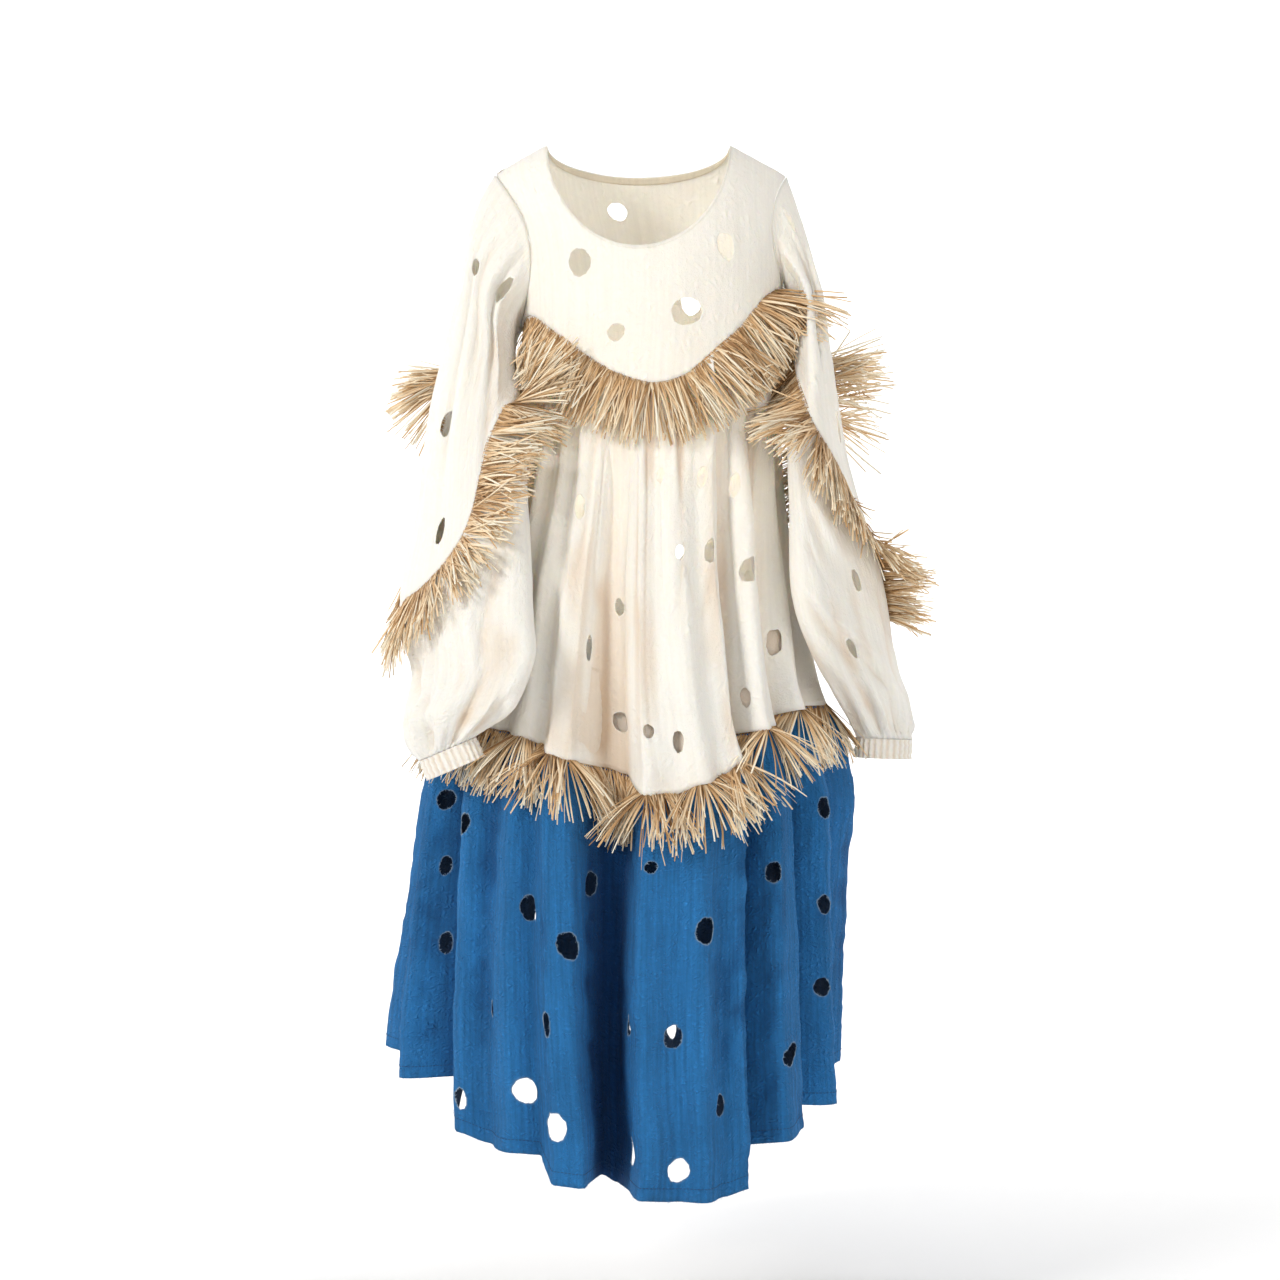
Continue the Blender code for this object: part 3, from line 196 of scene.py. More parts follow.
# height, left, right, front and back of the smooth body
SECTIONS: Table = (
    (0.000, -0.190, 0.196, -0.092, 0.082),
    (-0.035, -0.186, 0.192, -0.100, 0.088),
    (-0.130, -0.158, 0.189, -0.118, 0.100),
    (-0.230, -0.149, 0.186, -0.125, 0.108),
    (-0.330, -0.152, 0.180, -0.135, 0.115),
    (-0.450, -0.165, 0.184, -0.158, 0.130),
    (-0.600, -0.200, 0.204, -0.190, 0.160),
    (-0.730, -0.235, 0.234, -0.212, 0.190),
    (-0.800, -0.260, 0.260, -0.225, 0.205),
    (-0.950, -0.288, 0.260, -0.250, 0.230),
    (-1.100, -0.308, 0.252, -0.268, 0.245),
    (-1.310, -0.326, 0.246, -0.285, 0.262),
)
# degrees from the front and height of the yoke seam
YOKE_SEAM: Table = (
    (-90, -0.236), (-66, -0.230), (-44, -0.261), (-14, -0.311), (2, -0.323), (16, -0.311), (32, -0.273),
    (57, -0.211), (90, -0.194), (125, -0.225), (160, -0.280), (188, -0.292), (220, -0.268), (246, -0.238),
)
# one fold to a row, in the order of Fold
FOLDS: Table = (
    (-90, -90, -86, 0.000, 0.008, 0.012, -0.745, -1.165),
    (-78, -79, -70, -0.004, -0.018, -0.035, -0.742, -1.172),
    (-66, -70, -59, 0.006, 0.014, 0.020, -0.742, -1.186),
    (-58, -60, -46, -0.006, -0.032, -0.038, -0.746, -1.182),
    (-50, -48, -36, 0.006, 0.016, 0.020, -0.752, -1.235),
    (-44, -40, -29, -0.005, 0.006, 0.008, -0.756, -1.246),
    (-38, -32, -21, 0.007, 0.024, 0.030, -0.762, -1.250),
    (-33, -27, -15, -0.004, 0.012, 0.012, -0.770, -1.254),
    (-27, -22, -10.5, 0.008, 0.036, 0.044, -0.783, -1.282),
    (-21, -17.5, -5, 0.001, 0.030, 0.036, -0.790, -1.286),
    (-15, -11, -1.5, -0.008, -0.036, -0.066, -0.800, -1.291),
    (-8, -3.5, 4, -0.004, -0.034, -0.062, -0.808, -1.299),
    (-2, 1.5, 7.5, 0.006, 0.030, 0.038, -0.831, -1.301),
    (5, 8.5, 15, -0.003, 0.023, 0.030, -0.829, -1.305),
    (12, 15, 21, 0.008, 0.038, 0.046, -0.817, -1.305),
    (19, 20.5, 26, -0.004, 0.026, 0.033, -0.806, -1.303),
    (26, 25.5, 31.5, 0.007, 0.031, 0.040, -0.794, -1.296),
    (34, 29.5, 35.5, -0.008, -0.040, -0.066, -0.762, -1.266),
    (43, 35, 42, 0.008, 0.030, 0.038, -0.754, -1.247),
    (50, 39, 50, -0.004, 0.018, 0.030, -0.750, -1.238),
    (57, 44, 57, 0.004, -0.024, -0.040, -0.740, -1.222),
    (65, 52, 67, 0.006, 0.020, 0.024, -0.731, -1.222),
    (77, 66, 77, -0.005, -0.018, -0.030, -0.728, -1.200),
    (90, 84, 88, 0.003, 0.012, 0.012, -0.728, -1.185),
    (104, 99, 99, -0.004, -0.026, -0.042, -0.730, -1.192),
    (118, 114, 112, 0.006, 0.022, 0.028, -0.734, -1.206),
    (132, 128, 126, -0.004, -0.032, -0.050, -0.738, -1.215),
    (146, 142, 142, 0.006, 0.024, 0.030, -0.744, -1.228),
    (158, 156, 158, -0.005, -0.030, -0.044, -0.748, -1.232),
    (170, 172, 174, 0.007, 0.026, 0.032, -0.752, -1.240),
    (184, 186, 188, -0.005, -0.032, -0.048, -0.752, -1.238),
    (198, 200, 202, 0.006, 0.022, 0.030, -0.752, -1.236),
    (212, 214, 216, -0.005, -0.034, -0.052, -0.750, -1.222),
    (228, 228, 230, 0.006, 0.024, 0.030, -0.750, -1.208),
    (244, 242, 246, -0.004, -0.026, -0.042, -0.747, -1.185),
)
# outer edge, inner edge and half depth of each sleeve section
LEFT_RINGS: Table = (
    (-0.217, -0.010, -0.118, -0.158, -0.020, -0.268, 0.054),
    (-0.241, -0.020, -0.228, -0.150, -0.060, -0.328, 0.052),
    (-0.271, -0.035, -0.357, -0.140, -0.120, -0.420, 0.050),
    (-0.286, -0.060, -0.492, -0.132, -0.170, -0.530, 0.052),
    (-0.300, -0.095, -0.596, -0.128, -0.215, -0.615, 0.055),
    (-0.284, -0.125, -0.685, -0.125, -0.240, -0.672, 0.060),
    (-0.291, -0.150, -0.742, -0.150, -0.240, -0.722, 0.055),
    (-0.269, -0.172, -0.792, -0.198, -0.215, -0.761, 0.030),
)
RIGHT_RINGS: Table = (
    (0.222, -0.010, -0.140, 0.201, -0.010, -0.240, 0.050),
    (0.236, -0.025, -0.209, 0.196, -0.035, -0.300, 0.050),
    (0.249, -0.040, -0.306, 0.188, -0.090, -0.390, 0.050),
    (0.271, -0.035, -0.423, 0.188, -0.125, -0.495, 0.052),
    (0.312, -0.015, -0.553, 0.189, -0.145, -0.585, 0.056),
    (0.330, 0.000, -0.650, 0.210, -0.130, -0.655, 0.060),
    (0.348, 0.005, -0.722, 0.243, -0.085, -0.706, 0.054),
    (0.355, 0.000, -0.772, 0.280, -0.035, -0.768, 0.030),
)
# turn and section of the fringed seam
LEFT_SEAM: Table = (
    (0, 5.00), (28, 4.95), (55, 4.70), (75, 4.30), (92, 3.75), (104, 3.10), (120, 2.60), (150, 2.30),
    (185, 2.15), (230, 2.05), (280, 2.20), (315, 2.70), (338, 3.90),
)
RIGHT_SEAM: Table = (
    (0, 5.55), (12, 4.90), (35, 4.25), (60, 3.75), (90, 3.25), (120, 2.60), (150, 2.00), (185, 1.75),
    (230, 2.00), (270, 2.70), (305, 3.90), (335, 5.20),
)
# turn and section of both ends, width, and how far out the crease stands
LEFT_CREASES: Table = (
    (40, 0.6, 52, 3.4, 0.011, 0.006), (66, 0.3, 78, 2.6, 0.012, -0.006), (108, 0.2, 118, 2.2, 0.012, 0.005),
    (20, 5.6, 60, 7.0, 0.014, -0.007), (95, 5.3, 80, 7.2, 0.014, 0.007), (140, 5.0, 120, 7.0, 0.014, -0.007),
    (215, 1.0, 230, 3.5, 0.014, -0.007), (270, 0.6, 262, 4.4, 0.015, 0.007),
    (300, 3.6, 285, 7.0, 0.015, -0.008),
)
RIGHT_CREASES: Table = (
    (60, 0.3, 52, 2.7, 0.012, -0.008), (88, 0.4, 78, 2.8, 0.012, 0.006), (118, 0.3, 110, 1.9, 0.012, -0.005),
    (125, 4.3, 60, 6.6, 0.014, 0.008), (150, 4.9, 78, 6.9, 0.012, -0.007), (30, 4.9, 36, 7.1, 0.013, -0.006),
    (228, 0.9, 240, 3.8, 0.014, -0.007), (280, 0.7, 272, 4.5, 0.015, 0.007),
    (255, 4.2, 245, 7.0, 0.015, -0.008),
)
LEFT_FINE: Table = (
    (106, 0.15, 116, 2.7, 0.0060, 0.0070), (97, 0.20, 105, 2.6, 0.0055, -0.0060),
    (124, 0.15, 128, 2.2, 0.0060, -0.0050), (60, 0.20, 72, 3.6, 0.0065, 0.0045),
    (50, 0.60, 60, 3.9, 0.0060, -0.0050), (84, 0.10, 92, 1.9, 0.0065, 0.0045),
    (28, 1.40, 40, 4.4, 0.0070, 0.0040), (112, 3.90, 84, 5.8, 0.0080, 0.0060),
    (126, 4.00, 96, 6.2, 0.0070, -0.0060), (70, 5.20, 62, 7.6, 0.0075, 0.0060),
    (44, 5.60, 50, 7.6, 0.0070, 0.0055), (108, 5.80, 100, 7.7, 0.0065, -0.0055),
    (128, 5.60, 122, 7.7, 0.0065, 0.0055),
)
RIGHT_FINE: Table = (
    (60, 0.15, 56, 2.9, 0.0060, 0.0050), (70, 0.20, 66, 3.0, 0.0060, -0.0050),
    (96, 0.10, 90, 2.4, 0.0060, 0.0055), (118, 0.20, 108, 2.0, 0.0055, -0.0045),
    (36, 0.30, 34, 3.6, 0.0060, 0.0045), (120, 3.60, 70, 5.0, 0.0085, 0.0080),
    (135, 4.20, 84, 5.6, 0.0080, -0.0075), (140, 4.90, 60, 6.3, 0.0085, 0.0070),
    (100, 5.60, 60, 6.9, 0.0075, -0.0060), (60, 5.90, 52, 7.7, 0.0070, 0.0055),
    (92, 6.20, 82, 7.7, 0.0070, 0.0060), (112, 5.90, 104, 7.7, 0.0065, -0.0050),
)


@dataclass
class Body:
    """The yoke, the gathered cream tier and the blue tier, as surfaces round the wearer."""

    sections: Table = SECTIONS
    yoke_seam: Table = YOKE_SEAM
    folds: Table = FOLDS
    fade_below_seam: float = 0.05
    neck_half_width: float = 0.118
    front_neck_drop: float = 0.149
    back_neck_drop: float = 0.030
    shoulder_slope: float = 0.53
    shoulder_round: float = 0.100
    armhole_spread: float = 27.0
    underarm_above_seam: float = 0.008

    def form(self, z: Array) -> tuple[Array, Array, Array, Array]:
        """The middle and the half-sizes of the smooth body at height z.

        Args:
            z: Heights.

        Returns:
            The middle and half-size from left to right, then from front to back.
        """
        table = np.array(self.sections)
        down = -np.asarray(z, float)
        left, right, front, back = (curve(-table[:, 0], side, down) for side in table[:, 1:].T)
        return (left + right) / 2, (right - left) / 2, (front + back) / 2, (back - front) / 2

    def fold_pair(self, place: Array, column: int) -> tuple[Array, Array]:
        """A column of the fold table at the folds on either side of place.

        Args:
            place: Places in folds, counted round the body.
            column: The column's number.

        Returns:
            The value at the fold before and at the fold after.
        """
        values = np.array(self.folds)[:, column]
        low = np.floor(place).astype(int)
        return values[low % len(values)], values[(low + 1) % len(values)]

    def fold_angle(self, place: Array, z: Array) -> Array:
        """The angle round the body of the fold line place at height z, in degrees.

        Args:
            place: Places in folds, counted round the body.
            z: Heights.

        Returns:
            The angles.
        """
        low = np.floor(place)
        share = place - low
        count = len(self.folds)
        angle = 0
        angles = (Fold.TOP_ANGLE, Fold.TIER_ANGLE, Fold.HEM_ANGLE)
        for column, weight in zip(angles, self.level_weights(z)):
            first, second = self.fold_pair(place, column)
            turn, next_turn = 360.0 * np.floor(low / count), 360.0 * np.floor((low + 1) / count)
            angle = angle + weight * ((first + turn) * (1 - share) + (second + next_turn) * share)
        return angle

    def level_weights(self, z: Array) -> tuple[Array, Array, Array]:
        """How much each of the fold table's three heights counts at height z.

        Args:
            z: Heights.

        Returns:
            The shares of the three heights, 1 in all.
        """
        to_tier = np.clip((TOP_LEVEL - z) / (TOP_LEVEL - TIER_LEVEL), 0, 1)
        to_hem = np.clip((TIER_LEVEL - z) / (TIER_LEVEL - HEM_LEVEL), 0, 1)
        return 1 - to_tier, to_tier - to_hem, to_hem

    def fold_value(self, place: Array, column: int) -> Array:
        """A column of the fold table at the fold line place, running smoothly from fold to fold."""
        first, second = self.fold_pair(place, column)
        return first + (second - first) * half_cosine(place - np.floor(place))

    def fold_out(self, place: Array, z: Array) -> Array:
        """How far the cloth stands out of the smooth form at a fold line and height.

        Args:
            place: Places in folds, counted round the body.
            z: Heights.

        Returns:
            Distances in metres.
        """
        readings = [self.fold_value(place, column) for column in (Fold.TOP_OUT, Fold.TIER_OUT, Fold.HEM_OUT)]
        out = sum(weight * reading for weight, reading in zip(self.level_weights(z), readings))
        seam = self.yoke_seam_z(self.fold_angle(place, z))
        return out * soft_step((seam - z) / self.fade_below_seam)

    def yoke_seam_z(self, angle: Array) -> Array:
        """The height of the yoke seam at an angle."""
        return ring_curve(self.yoke_seam, angle)

    def shoulder_z(self, angle: Array) -> Array:
        """The height of the shoulder line, which falls away from the neck, at an angle.

        Args:
            angle: Degrees from the front.

        Returns:
            The heights.
        """
        mid_x, half_x, _, _ = self.form(0.0)
        x = mid_x + half_x * np.sin(np.radians(angle))
        return -self.shoulder_slope * np.clip(np.abs(x) - self.neck_half_width, 0, None)

    def point(self, angle: Array, z: Array, out: Array | float = 0.0) -> Array:
        """Points of the body.

        Args:
            angle: Degrees from the front, positive to the right.
            z: Height.
            out: How far the point stands out of the smooth form.

        Returns:
            One point for each place.
        """
        mid_x, half_x, mid_y, half_y = self.form(z)
        swell = 1 + out / ((half_x + half_y) / 2)
        drop = self.shoulder_z(angle) - z
        depth = np.sqrt(np.clip(1 - (1 - np.clip(drop / self.shoulder_round, 0, 1)) ** 2, 0, 1))
        turn = np.radians(angle)
        x = mid_x + half_x * np.sin(turn) * swell
        y = depth * (mid_y - half_y * np.cos(turn) * swell)
        return np.stack(np.broadcast_arrays(x, y, z), axis=-1)

    def tier(self, place: Array, share: Array) -> Array:
        """The gathered cream tier: share 0 is the yoke seam and 1 the hem seam."""
        seam = self.yoke_seam_z(self.fold_angle(place, TOP_LEVEL))
        return self.on_folds(place, seam + (self.fold_value(place, Fold.TIER_Z) - seam) * share)

    def skirt(self, place: Array, share: Array) -> Array:
        """The blue tier: share 0 is the hem seam of the cream tier and 1 the lower hem."""
        top = self.fold_value(place, Fold.TIER_Z)
        return self.on_folds(place, top + (self.fold_value(place, Fold.HEM_Z) - top) * share)

    def on_folds(self, place: Array, z: Array, inward: float = 0.0) -> Array:
        """Points of the folded cloth, or somewhat inside it, at heights."""
        return self.point(self.fold_angle(place, z), z, self.fold_out(place, z) - inward)

    def yoke(self, angle: Array, fall: Array) -> Array:
        """The yoke, fall being measured over the rounded shoulder and straight down below it.

        Args:
            angle: Degrees from the front.
            fall: Metres down from the shoulder line.

        Returns:
            The points.
        """
        round_length = self.shoulder_round * math.pi / 2
        turn = np.clip(fall / round_length, 0, 1) * math.pi / 2
        drop = self.shoulder_round * (1 - np.cos(turn)) + np.clip(fall - round_length, 0, None)
        return self.point(angle, self.shoulder_z(angle) - drop)

    def yoke_fall(self, angle: Array, z: Array) -> Array:
        """The fall at which the yoke reaches height z.

        Args:
            angle: Degrees from the front.
            z: Heights.

        Returns:
            Metres down from the shoulder line.
        """
        drop = self.shoulder_z(angle) - z
        turn = np.arccos(np.clip(1 - drop / self.shoulder_round, 0, 1))
        return self.shoulder_round * turn + np.clip(drop - self.shoulder_round, 0, None)

    def armhole(self, side: int, turn: Array) -> tuple[Array, Array]:
        """The angle and height of an armhole, turn degrees from the shoulder over the front.

        Args:
            side: -1 for the left and 1 for the right.
            turn: Degrees from the shoulder over the front.

        Returns:
            The angles and the heights.
        """
        top = self.shoulder_z(side * 90.0)
        bottom = self.yoke_seam_z(side * 90.0) + self.underarm_above_seam
        z = (top + bottom) / 2 + (top - bottom) / 2 * np.cos(np.radians(turn))
        return side * (90 - self.armhole_spread * np.sin(np.radians(turn))), z

    def armhole_middle(self, side: int) -> Array:
        """The middle of an armhole."""
        angle, z = self.armhole(side, np.array([0.0, 180.0]))
        return self.point(angle, z).mean(axis=0)


@dataclass
class SleeveForm:
    """One sleeve as a surface from the armhole to the cuff."""

    body: Body
    side: int
    rings: Table
    seam: Table
    creases: Table
    fine_creases: Table
    armhole_ease: float = 0.0013
    clearance: float = 0.006
    ridge_heights: tuple[float, float, float] = (0.007, 0.026, 0.030)
    gathers: int = 9
    gather_out: float = 0.006
    fine_gathers: int = 31
    fine_gather_out: float = 0.0013

    def ring_middle(self, ring: Sequence[float]) -> Array:
        """The middle of one sleeve section."""
        return (np.array(ring[0:3]) + np.array(ring[3:6])) / 2

    def ring_points(self, ring: Sequence[float], turn: Array) -> Array:
        """The points of one section, turn degrees from its outer edge over the front.

        Args:
            ring: The section's row of the table.
            turn: Degrees from the outer edge over the front.

        Returns:
            The points.
        """
        middle = self.ring_middle(ring)
        across = np.array(ring[0:3]) - middle
        front = np.array([0.0, -ring[6], 0.0])
        turn = np.radians(turn)[..., None]
        return middle + across * np.cos(turn) + front * np.sin(turn)

    def point(self, turn: Array, section: Array) -> Array:
        """Points of the sleeve.

        Args:
            turn: Degrees from the outer edge over the front.
            section: 0 is the armhole, and each row of the rings is one more.

        Returns:
            One point for each place.
        """
        turn, section = np.broadcast_arrays(np.asarray(turn, float), np.asarray(section, float))
        angle, z = self.body.armhole(self.side, turn)
        start = self.body.point(angle, z) + np.array([self.side * self.armhole_ease, 0, 0])
        knots = np.stack([start] + [self.ring_points(ring, turn) for ring in self.rings])
        slopes = np.gradient(knots, axis=0)
        cell = np.clip(np.floor(section).astype(int), 0, len(self.rings) - 1)
        f = (section - cell)[..., None]

        def pick(rows: Array, index: Array) -> Array:
            """The row that each place asks for."""
            return np.take_along_axis(rows, index[None, ..., None], axis=0)[0]

        point = (1 + 2 * f) * (1 - f) ** 2 * pick(knots, cell) + f * (1 - f) ** 2 * pick(slopes, cell)
        point = point + f * f * (3 - 2 * f) * pick(knots, cell + 1) + f * f * (f - 1) * pick(slopes, cell + 1)
        axis = np.stack([self.body.armhole_middle(self.side), *map(self.ring_middle, self.rings)])
        away = unit(point - (axis[cell] * (1 - f) + axis[cell + 1] * f))
        return self.rest_on_body(point + away * self.relief(turn, section)[..., None])

    def relief(self, turn: Array, section: Array) -> Array:
        """How far creases and the gathers at the cuff raise the sleeve.

        Args:
            turn: Degrees from the outer edge over the front.
            section: How far down the sleeve, in sections.

        Returns:
            How far each place is raised.
        """
        round_scale, section_scale = 0.075, 0.1
        relief = np.zeros(np.shape(turn))
        for angle_a, section_a, angle_b, section_b, width, out in (*self.creases, *self.fine_creases):
            along = np.array([math.radians(angle_b - angle_a) * round_scale,
                              (section_b - section_a) * section_scale])
            away_turn = np.radians((turn - angle_a + 180) % 360 - 180)
            away = np.stack([away_turn * round_scale, (section - section_a) * section_scale], axis=-1)
            share = away @ along / (along @ along)
            off_line = np.abs(away[..., 0] * along[1] - away[..., 1] * along[0]) / np.linalg.norm(along)
            reach = soft_step(share / 0.3) * soft_step((1 - share) / 0.3)
            relief = relief + out * reach * np.exp(-(off_line / width) ** 2)
        last = len(self.rings)
        near_cuff = soft_step((section - (last - 1.6)) / 1.0) * soft_step((last - section) / 0.25)
        fine = soft_step((section - (last - 0.9)) / 0.6)
        gathers = self.gather_out * np.cos(np.radians(turn) * self.gathers) * near_cuff
        return relief + gathers + self.fine_gather_out * np.cos(np.radians(turn) * self.fine_gathers) * fine

    def rest_on_body(self, point: Array) -> Array:
        """Move points that would lie in the body's folds straight out to clear them.

        Args:
            point: Points of the sleeve.

        Returns:
            The points, moved where they have to be.
        """
        mid_x, half_x, mid_y, half_y = self.body.form(point[..., 2])
        x = (point[..., 0] - mid_x) / half_x
        y = (point[..., 1] - mid_y) / half_y
        weights = self.body.level_weights(point[..., 2])
        ridge = sum(weight * height for weight, height in zip(weights, self.ridge_heights))
        least = 1 + (ridge + self.clearance) / ((half_x + half_y) / 2)
        grow = np.clip(least / np.maximum(np.hypot(x, y), 1e-6), 1, None)
        angle = np.degrees(np.arctan2(x, -y))
        below_seam = soft_step((self.body.yoke_seam_z(angle) - point[..., 2]) / 0.04)
        grow = 1 + (grow - 1) * below_seam
        moved = point.copy()
        moved[..., 0] = mid_x + (point[..., 0] - mid_x) * grow
        moved[..., 1] = mid_y + (point[..., 1] - mid_y) * grow
        return moved

    def seam_section(self, turn: Array) -> Array:
        """How far down the sleeve the fringed seam is at a turn."""
        return ring_curve(self.seam, turn)


@dataclass(frozen=True)
class Hole:
    """A torn hole: where it shows from the front or the back, and its real size along the cloth."""

    x: float
    z: float
    width: float
    height: float
    tilt: float = 0.0


# x, z, width, height and tilt of each hole
HOLE_ROWS: dict[str, Table] = {
    "yoke_front": (
        (-0.074, -0.169, 0.030, 0.037), (-0.027, -0.258, 0.024, 0.023), (0.060, -0.233, 0.038, 0.038),
        (0.110, -0.148, 0.024, 0.036, 10),
    ),
    "yoke_back": (
        (-0.027, -0.072, 0.026, 0.026), (0.070, -0.190, 0.030, 0.034),
    ),
    "sleeve_left_front": (
        (-0.208, -0.168, 0.016, 0.024), (-0.172, -0.196, 0.020, 0.038), (-0.239, -0.372, 0.018, 0.034),
        (-0.246, -0.509, 0.018, 0.036),
    ),
    "sleeve_left_back": (
        (-0.210, -0.200, 0.026, 0.032),
    ),
    "sleeve_right_front": (
        (0.192, -0.105, 0.010, 0.040, -4), (0.201, -0.180, 0.014, 0.070, -6), (0.252, -0.372, 0.014, 0.040),
    ),
    "sleeve_right_back": (
        (0.222, -0.165, 0.024, 0.030),
    ),
    "puff_left_back": (
        (-0.225, -0.560, 0.028, 0.030),
    ),
    "puff_right_front": (
        (0.275, -0.568, 0.018, 0.028), (0.268, -0.654, 0.020, 0.026),
    ),
    "tier_front": (
        (-0.073, -0.479, 0.016, 0.032), (0.029, -0.443, 0.012, 0.020), (0.078, -0.441, 0.016, 0.026),
        (0.120, -0.451, 0.018, 0.033), (0.051, -0.537, 0.014, 0.021), (0.089, -0.532, 0.020, 0.032),
        (0.138, -0.558, 0.029, 0.032), (-0.023, -0.603, 0.014, 0.023), (0.168, -0.648, 0.022, 0.034),
        (0.133, -0.712, 0.018, 0.026), (-0.020, -0.746, 0.024, 0.026), (0.014, -0.753, 0.015, 0.018),
        (0.047, -0.766, 0.016, 0.028), (-0.060, -0.655, 0.012, 0.034),
    ),
    "tier_back": (
        (-0.095, -0.430, 0.024, 0.030), (0.055, -0.520, 0.028, 0.032), (-0.040, -0.640, 0.022, 0.028),
        (0.130, -0.670, 0.026, 0.030),
    ),
    "skirt_front": (
        (-0.240, -0.846, 0.024, 0.026), (-0.213, -0.870, 0.020, 0.030, -25), (-0.245, -0.925, 0.016, 0.025),
        (-0.242, -1.022, 0.018, 0.030), (-0.130, -0.965, 0.028, 0.031), (-0.083, -1.008, 0.028, 0.033),
        (-0.055, -0.937, 0.030, 0.031), (-0.175, -1.086, 0.015, 0.023), (-0.111, -1.096, 0.013, 0.031),
        (-0.009, -1.103, 0.024, 0.026), (0.040, -1.112, 0.024, 0.029), (0.080, -0.991, 0.026, 0.032),
        (0.015, -0.915, 0.018, 0.015), (0.162, -0.925, 0.024, 0.026), (0.230, -0.850, 0.022, 0.026),
        (0.232, -0.972, 0.020, 0.024), (0.226, -1.076, 0.024, 0.024), (0.184, -1.144, 0.032, 0.025),
        (0.095, -1.195, 0.018, 0.027), (-0.133, -1.178, 0.032, 0.032), (-0.098, -1.216, 0.026, 0.032),
        (-0.215, -1.195, 0.016, 0.025), (-0.010, -1.252, 0.022, 0.034), (0.048, -1.270, 0.027, 0.029),
    ),
    "skirt_back": (
        (-0.137, -1.025, 0.034, 0.036), (0.000, -1.185, 0.030, 0.034), (0.044, -1.180, 0.034, 0.036),
        (0.150, -0.950, 0.026, 0.030), (-0.210, -0.900, 0.026, 0.030), (0.180, -1.080, 0.028, 0.032),
        (-0.080, -0.880, 0.024, 0.028),
    ),
}
HOLES = {group: tuple(Hole(*row) for row in rows) for group, rows in HOLE_ROWS.items()}


def inside_loop(points: Array, loop: Array) -> Array:
    """Whether flat points lie in a closed loop.

    Args:
        points: Flat points, one to a row.
        loop: Corners of the loop.

    Returns:
        A mask over the points.
    """
    low, high = loop.min(axis=0), loop.max(axis=0)
    near = np.all((points >= low) & (points <= high), axis=1)
    mask = np.zeros(len(points), bool)
    candidates = points[near]
    if not len(candidates):
        return mask
    start, end = loop, np.roll(loop, -1, axis=0)
    px, py = candidates[:, None, 0], candidates[:, None, 1]
    spans = (start[:, 1] > py) != (end[:, 1] > py)
    rise = np.where(end[:, 1] == start[:, 1], 1e-12, end[:, 1] - start[:, 1])
    crosses = px < (end[:, 0] - start[:, 0]) * (py - start[:, 1]) / rise + start[:, 0]
    mask[near] = (spans & crosses).sum(axis=1) % 2 == 1
    return mask


def near_loop(points: Array, loop: Array, distance: float) -> Array:
    """Which flat points lie within a distance of a loop's sides.

    Args:
        points: The points.
        loop: The loop's corners.
        distance: The distance in metres.

    Returns:
        A mask over the points.
    """
    low, high = loop.min(axis=0) - distance, loop.max(axis=0) + distance
    close = np.all((points >= low) & (points <= high), axis=1)
    mask = np.zeros(len(points), bool)
    side = np.roll(loop, -1, axis=0) - loop
    length = np.maximum((side ** 2).sum(axis=1), 1e-14)
    batch = 4000
    for first in range(0, int(close.sum()), batch):
        rows = np.flatnonzero(close)[first:first + batch]
        away = points[rows][:, None] - loop
        share = np.clip((away * side).sum(axis=2) / length, 0, 1)
        gap = np.linalg.norm(away - side * share[..., None], axis=2).min(axis=1)
        mask[rows] = gap < distance
    return mask


def triangulate(loops: list[Array], grid: Array) -> tuple[Array, Array]:
    """Fill the first loop, leaving out the others, through the grid points.

    Args:
        loops: The outline and then the holes.
        grid: Flat points inside.

    Returns:
        The flat points and the triangles.
    """
    points = np.concatenate(loops + [grid])
    edges: list[tuple[int, int]] = []
    for loop in loops:
        first, count = len(edges), len(loop)
        edges += [(first + i, first + (i + 1) % count) for i in range(count)]
    flat, _, faces = delaunay_2d_cdt([Vector(p) for p in points.tolist()], edges, [], 0, 1e-9, False)[:3]
    flat, triangles = np.array([tuple(p) for p in flat]), np.array([tuple(face) for face in faces])
    middles = flat[triangles].mean(axis=1)
    kept = inside_loop(middles, loops[0])
    for hole in loops[1:]:
        kept &= ~inside_loop(middles, hole)
    used, numbered = np.unique(triangles[kept], return_inverse=True)
    return flat[used], numbered.reshape(-1, 3)


def mesh_normals(points: Array, triangles: Array) -> Array:
    """The direction in which each point of a triangle mesh looks.

    Args:
        points: The points.
        triangles: The triangles.

    Returns:
        A unit vector for each point.
    """
    a, b, c = (points[triangles[:, i]] for i in range(3))
    normal = unit(np.cross(b - a, c - a))
    total = np.zeros_like(points)
    for here, ahead, behind, column in ((a, b, c, 0), (b, c, a, 1), (c, a, b, 2)):
        cosine = (unit(ahead - here) * unit(behind - here)).sum(axis=1)
        angle = np.arccos(np.clip(cosine, -1, 1))[:, None]
        np.add.at(total, triangles[:, column], normal * angle)
    return unit(total)


def border_edges(triangles: Array) -> Array:
    """The edges that only one triangle has, in that triangle's direction.

    Args:
        triangles: The triangles.

    Returns:
        Pairs of point numbers.
    """
    edges = np.concatenate([triangles[:, [0, 1]], triangles[:, [1, 2]], triangles[:, [2, 0]]])
    low, high = edges.min(axis=1), edges.max(axis=1)
    key = low.astype(np.int64) * (int(triangles.max()) + 1) + high
    _, index, count = np.unique(key, return_index=True, return_counts=True)
    return edges[index[count == 1]]


def mesh_area(points: Array, triangles: Array) -> float:
    """The area of a triangle mesh."""
    a, b, c = (points[triangles[:, i]] for i in range(3))
    return float(np.linalg.norm(np.cross(b - a, c - a), axis=1).sum() / 2)


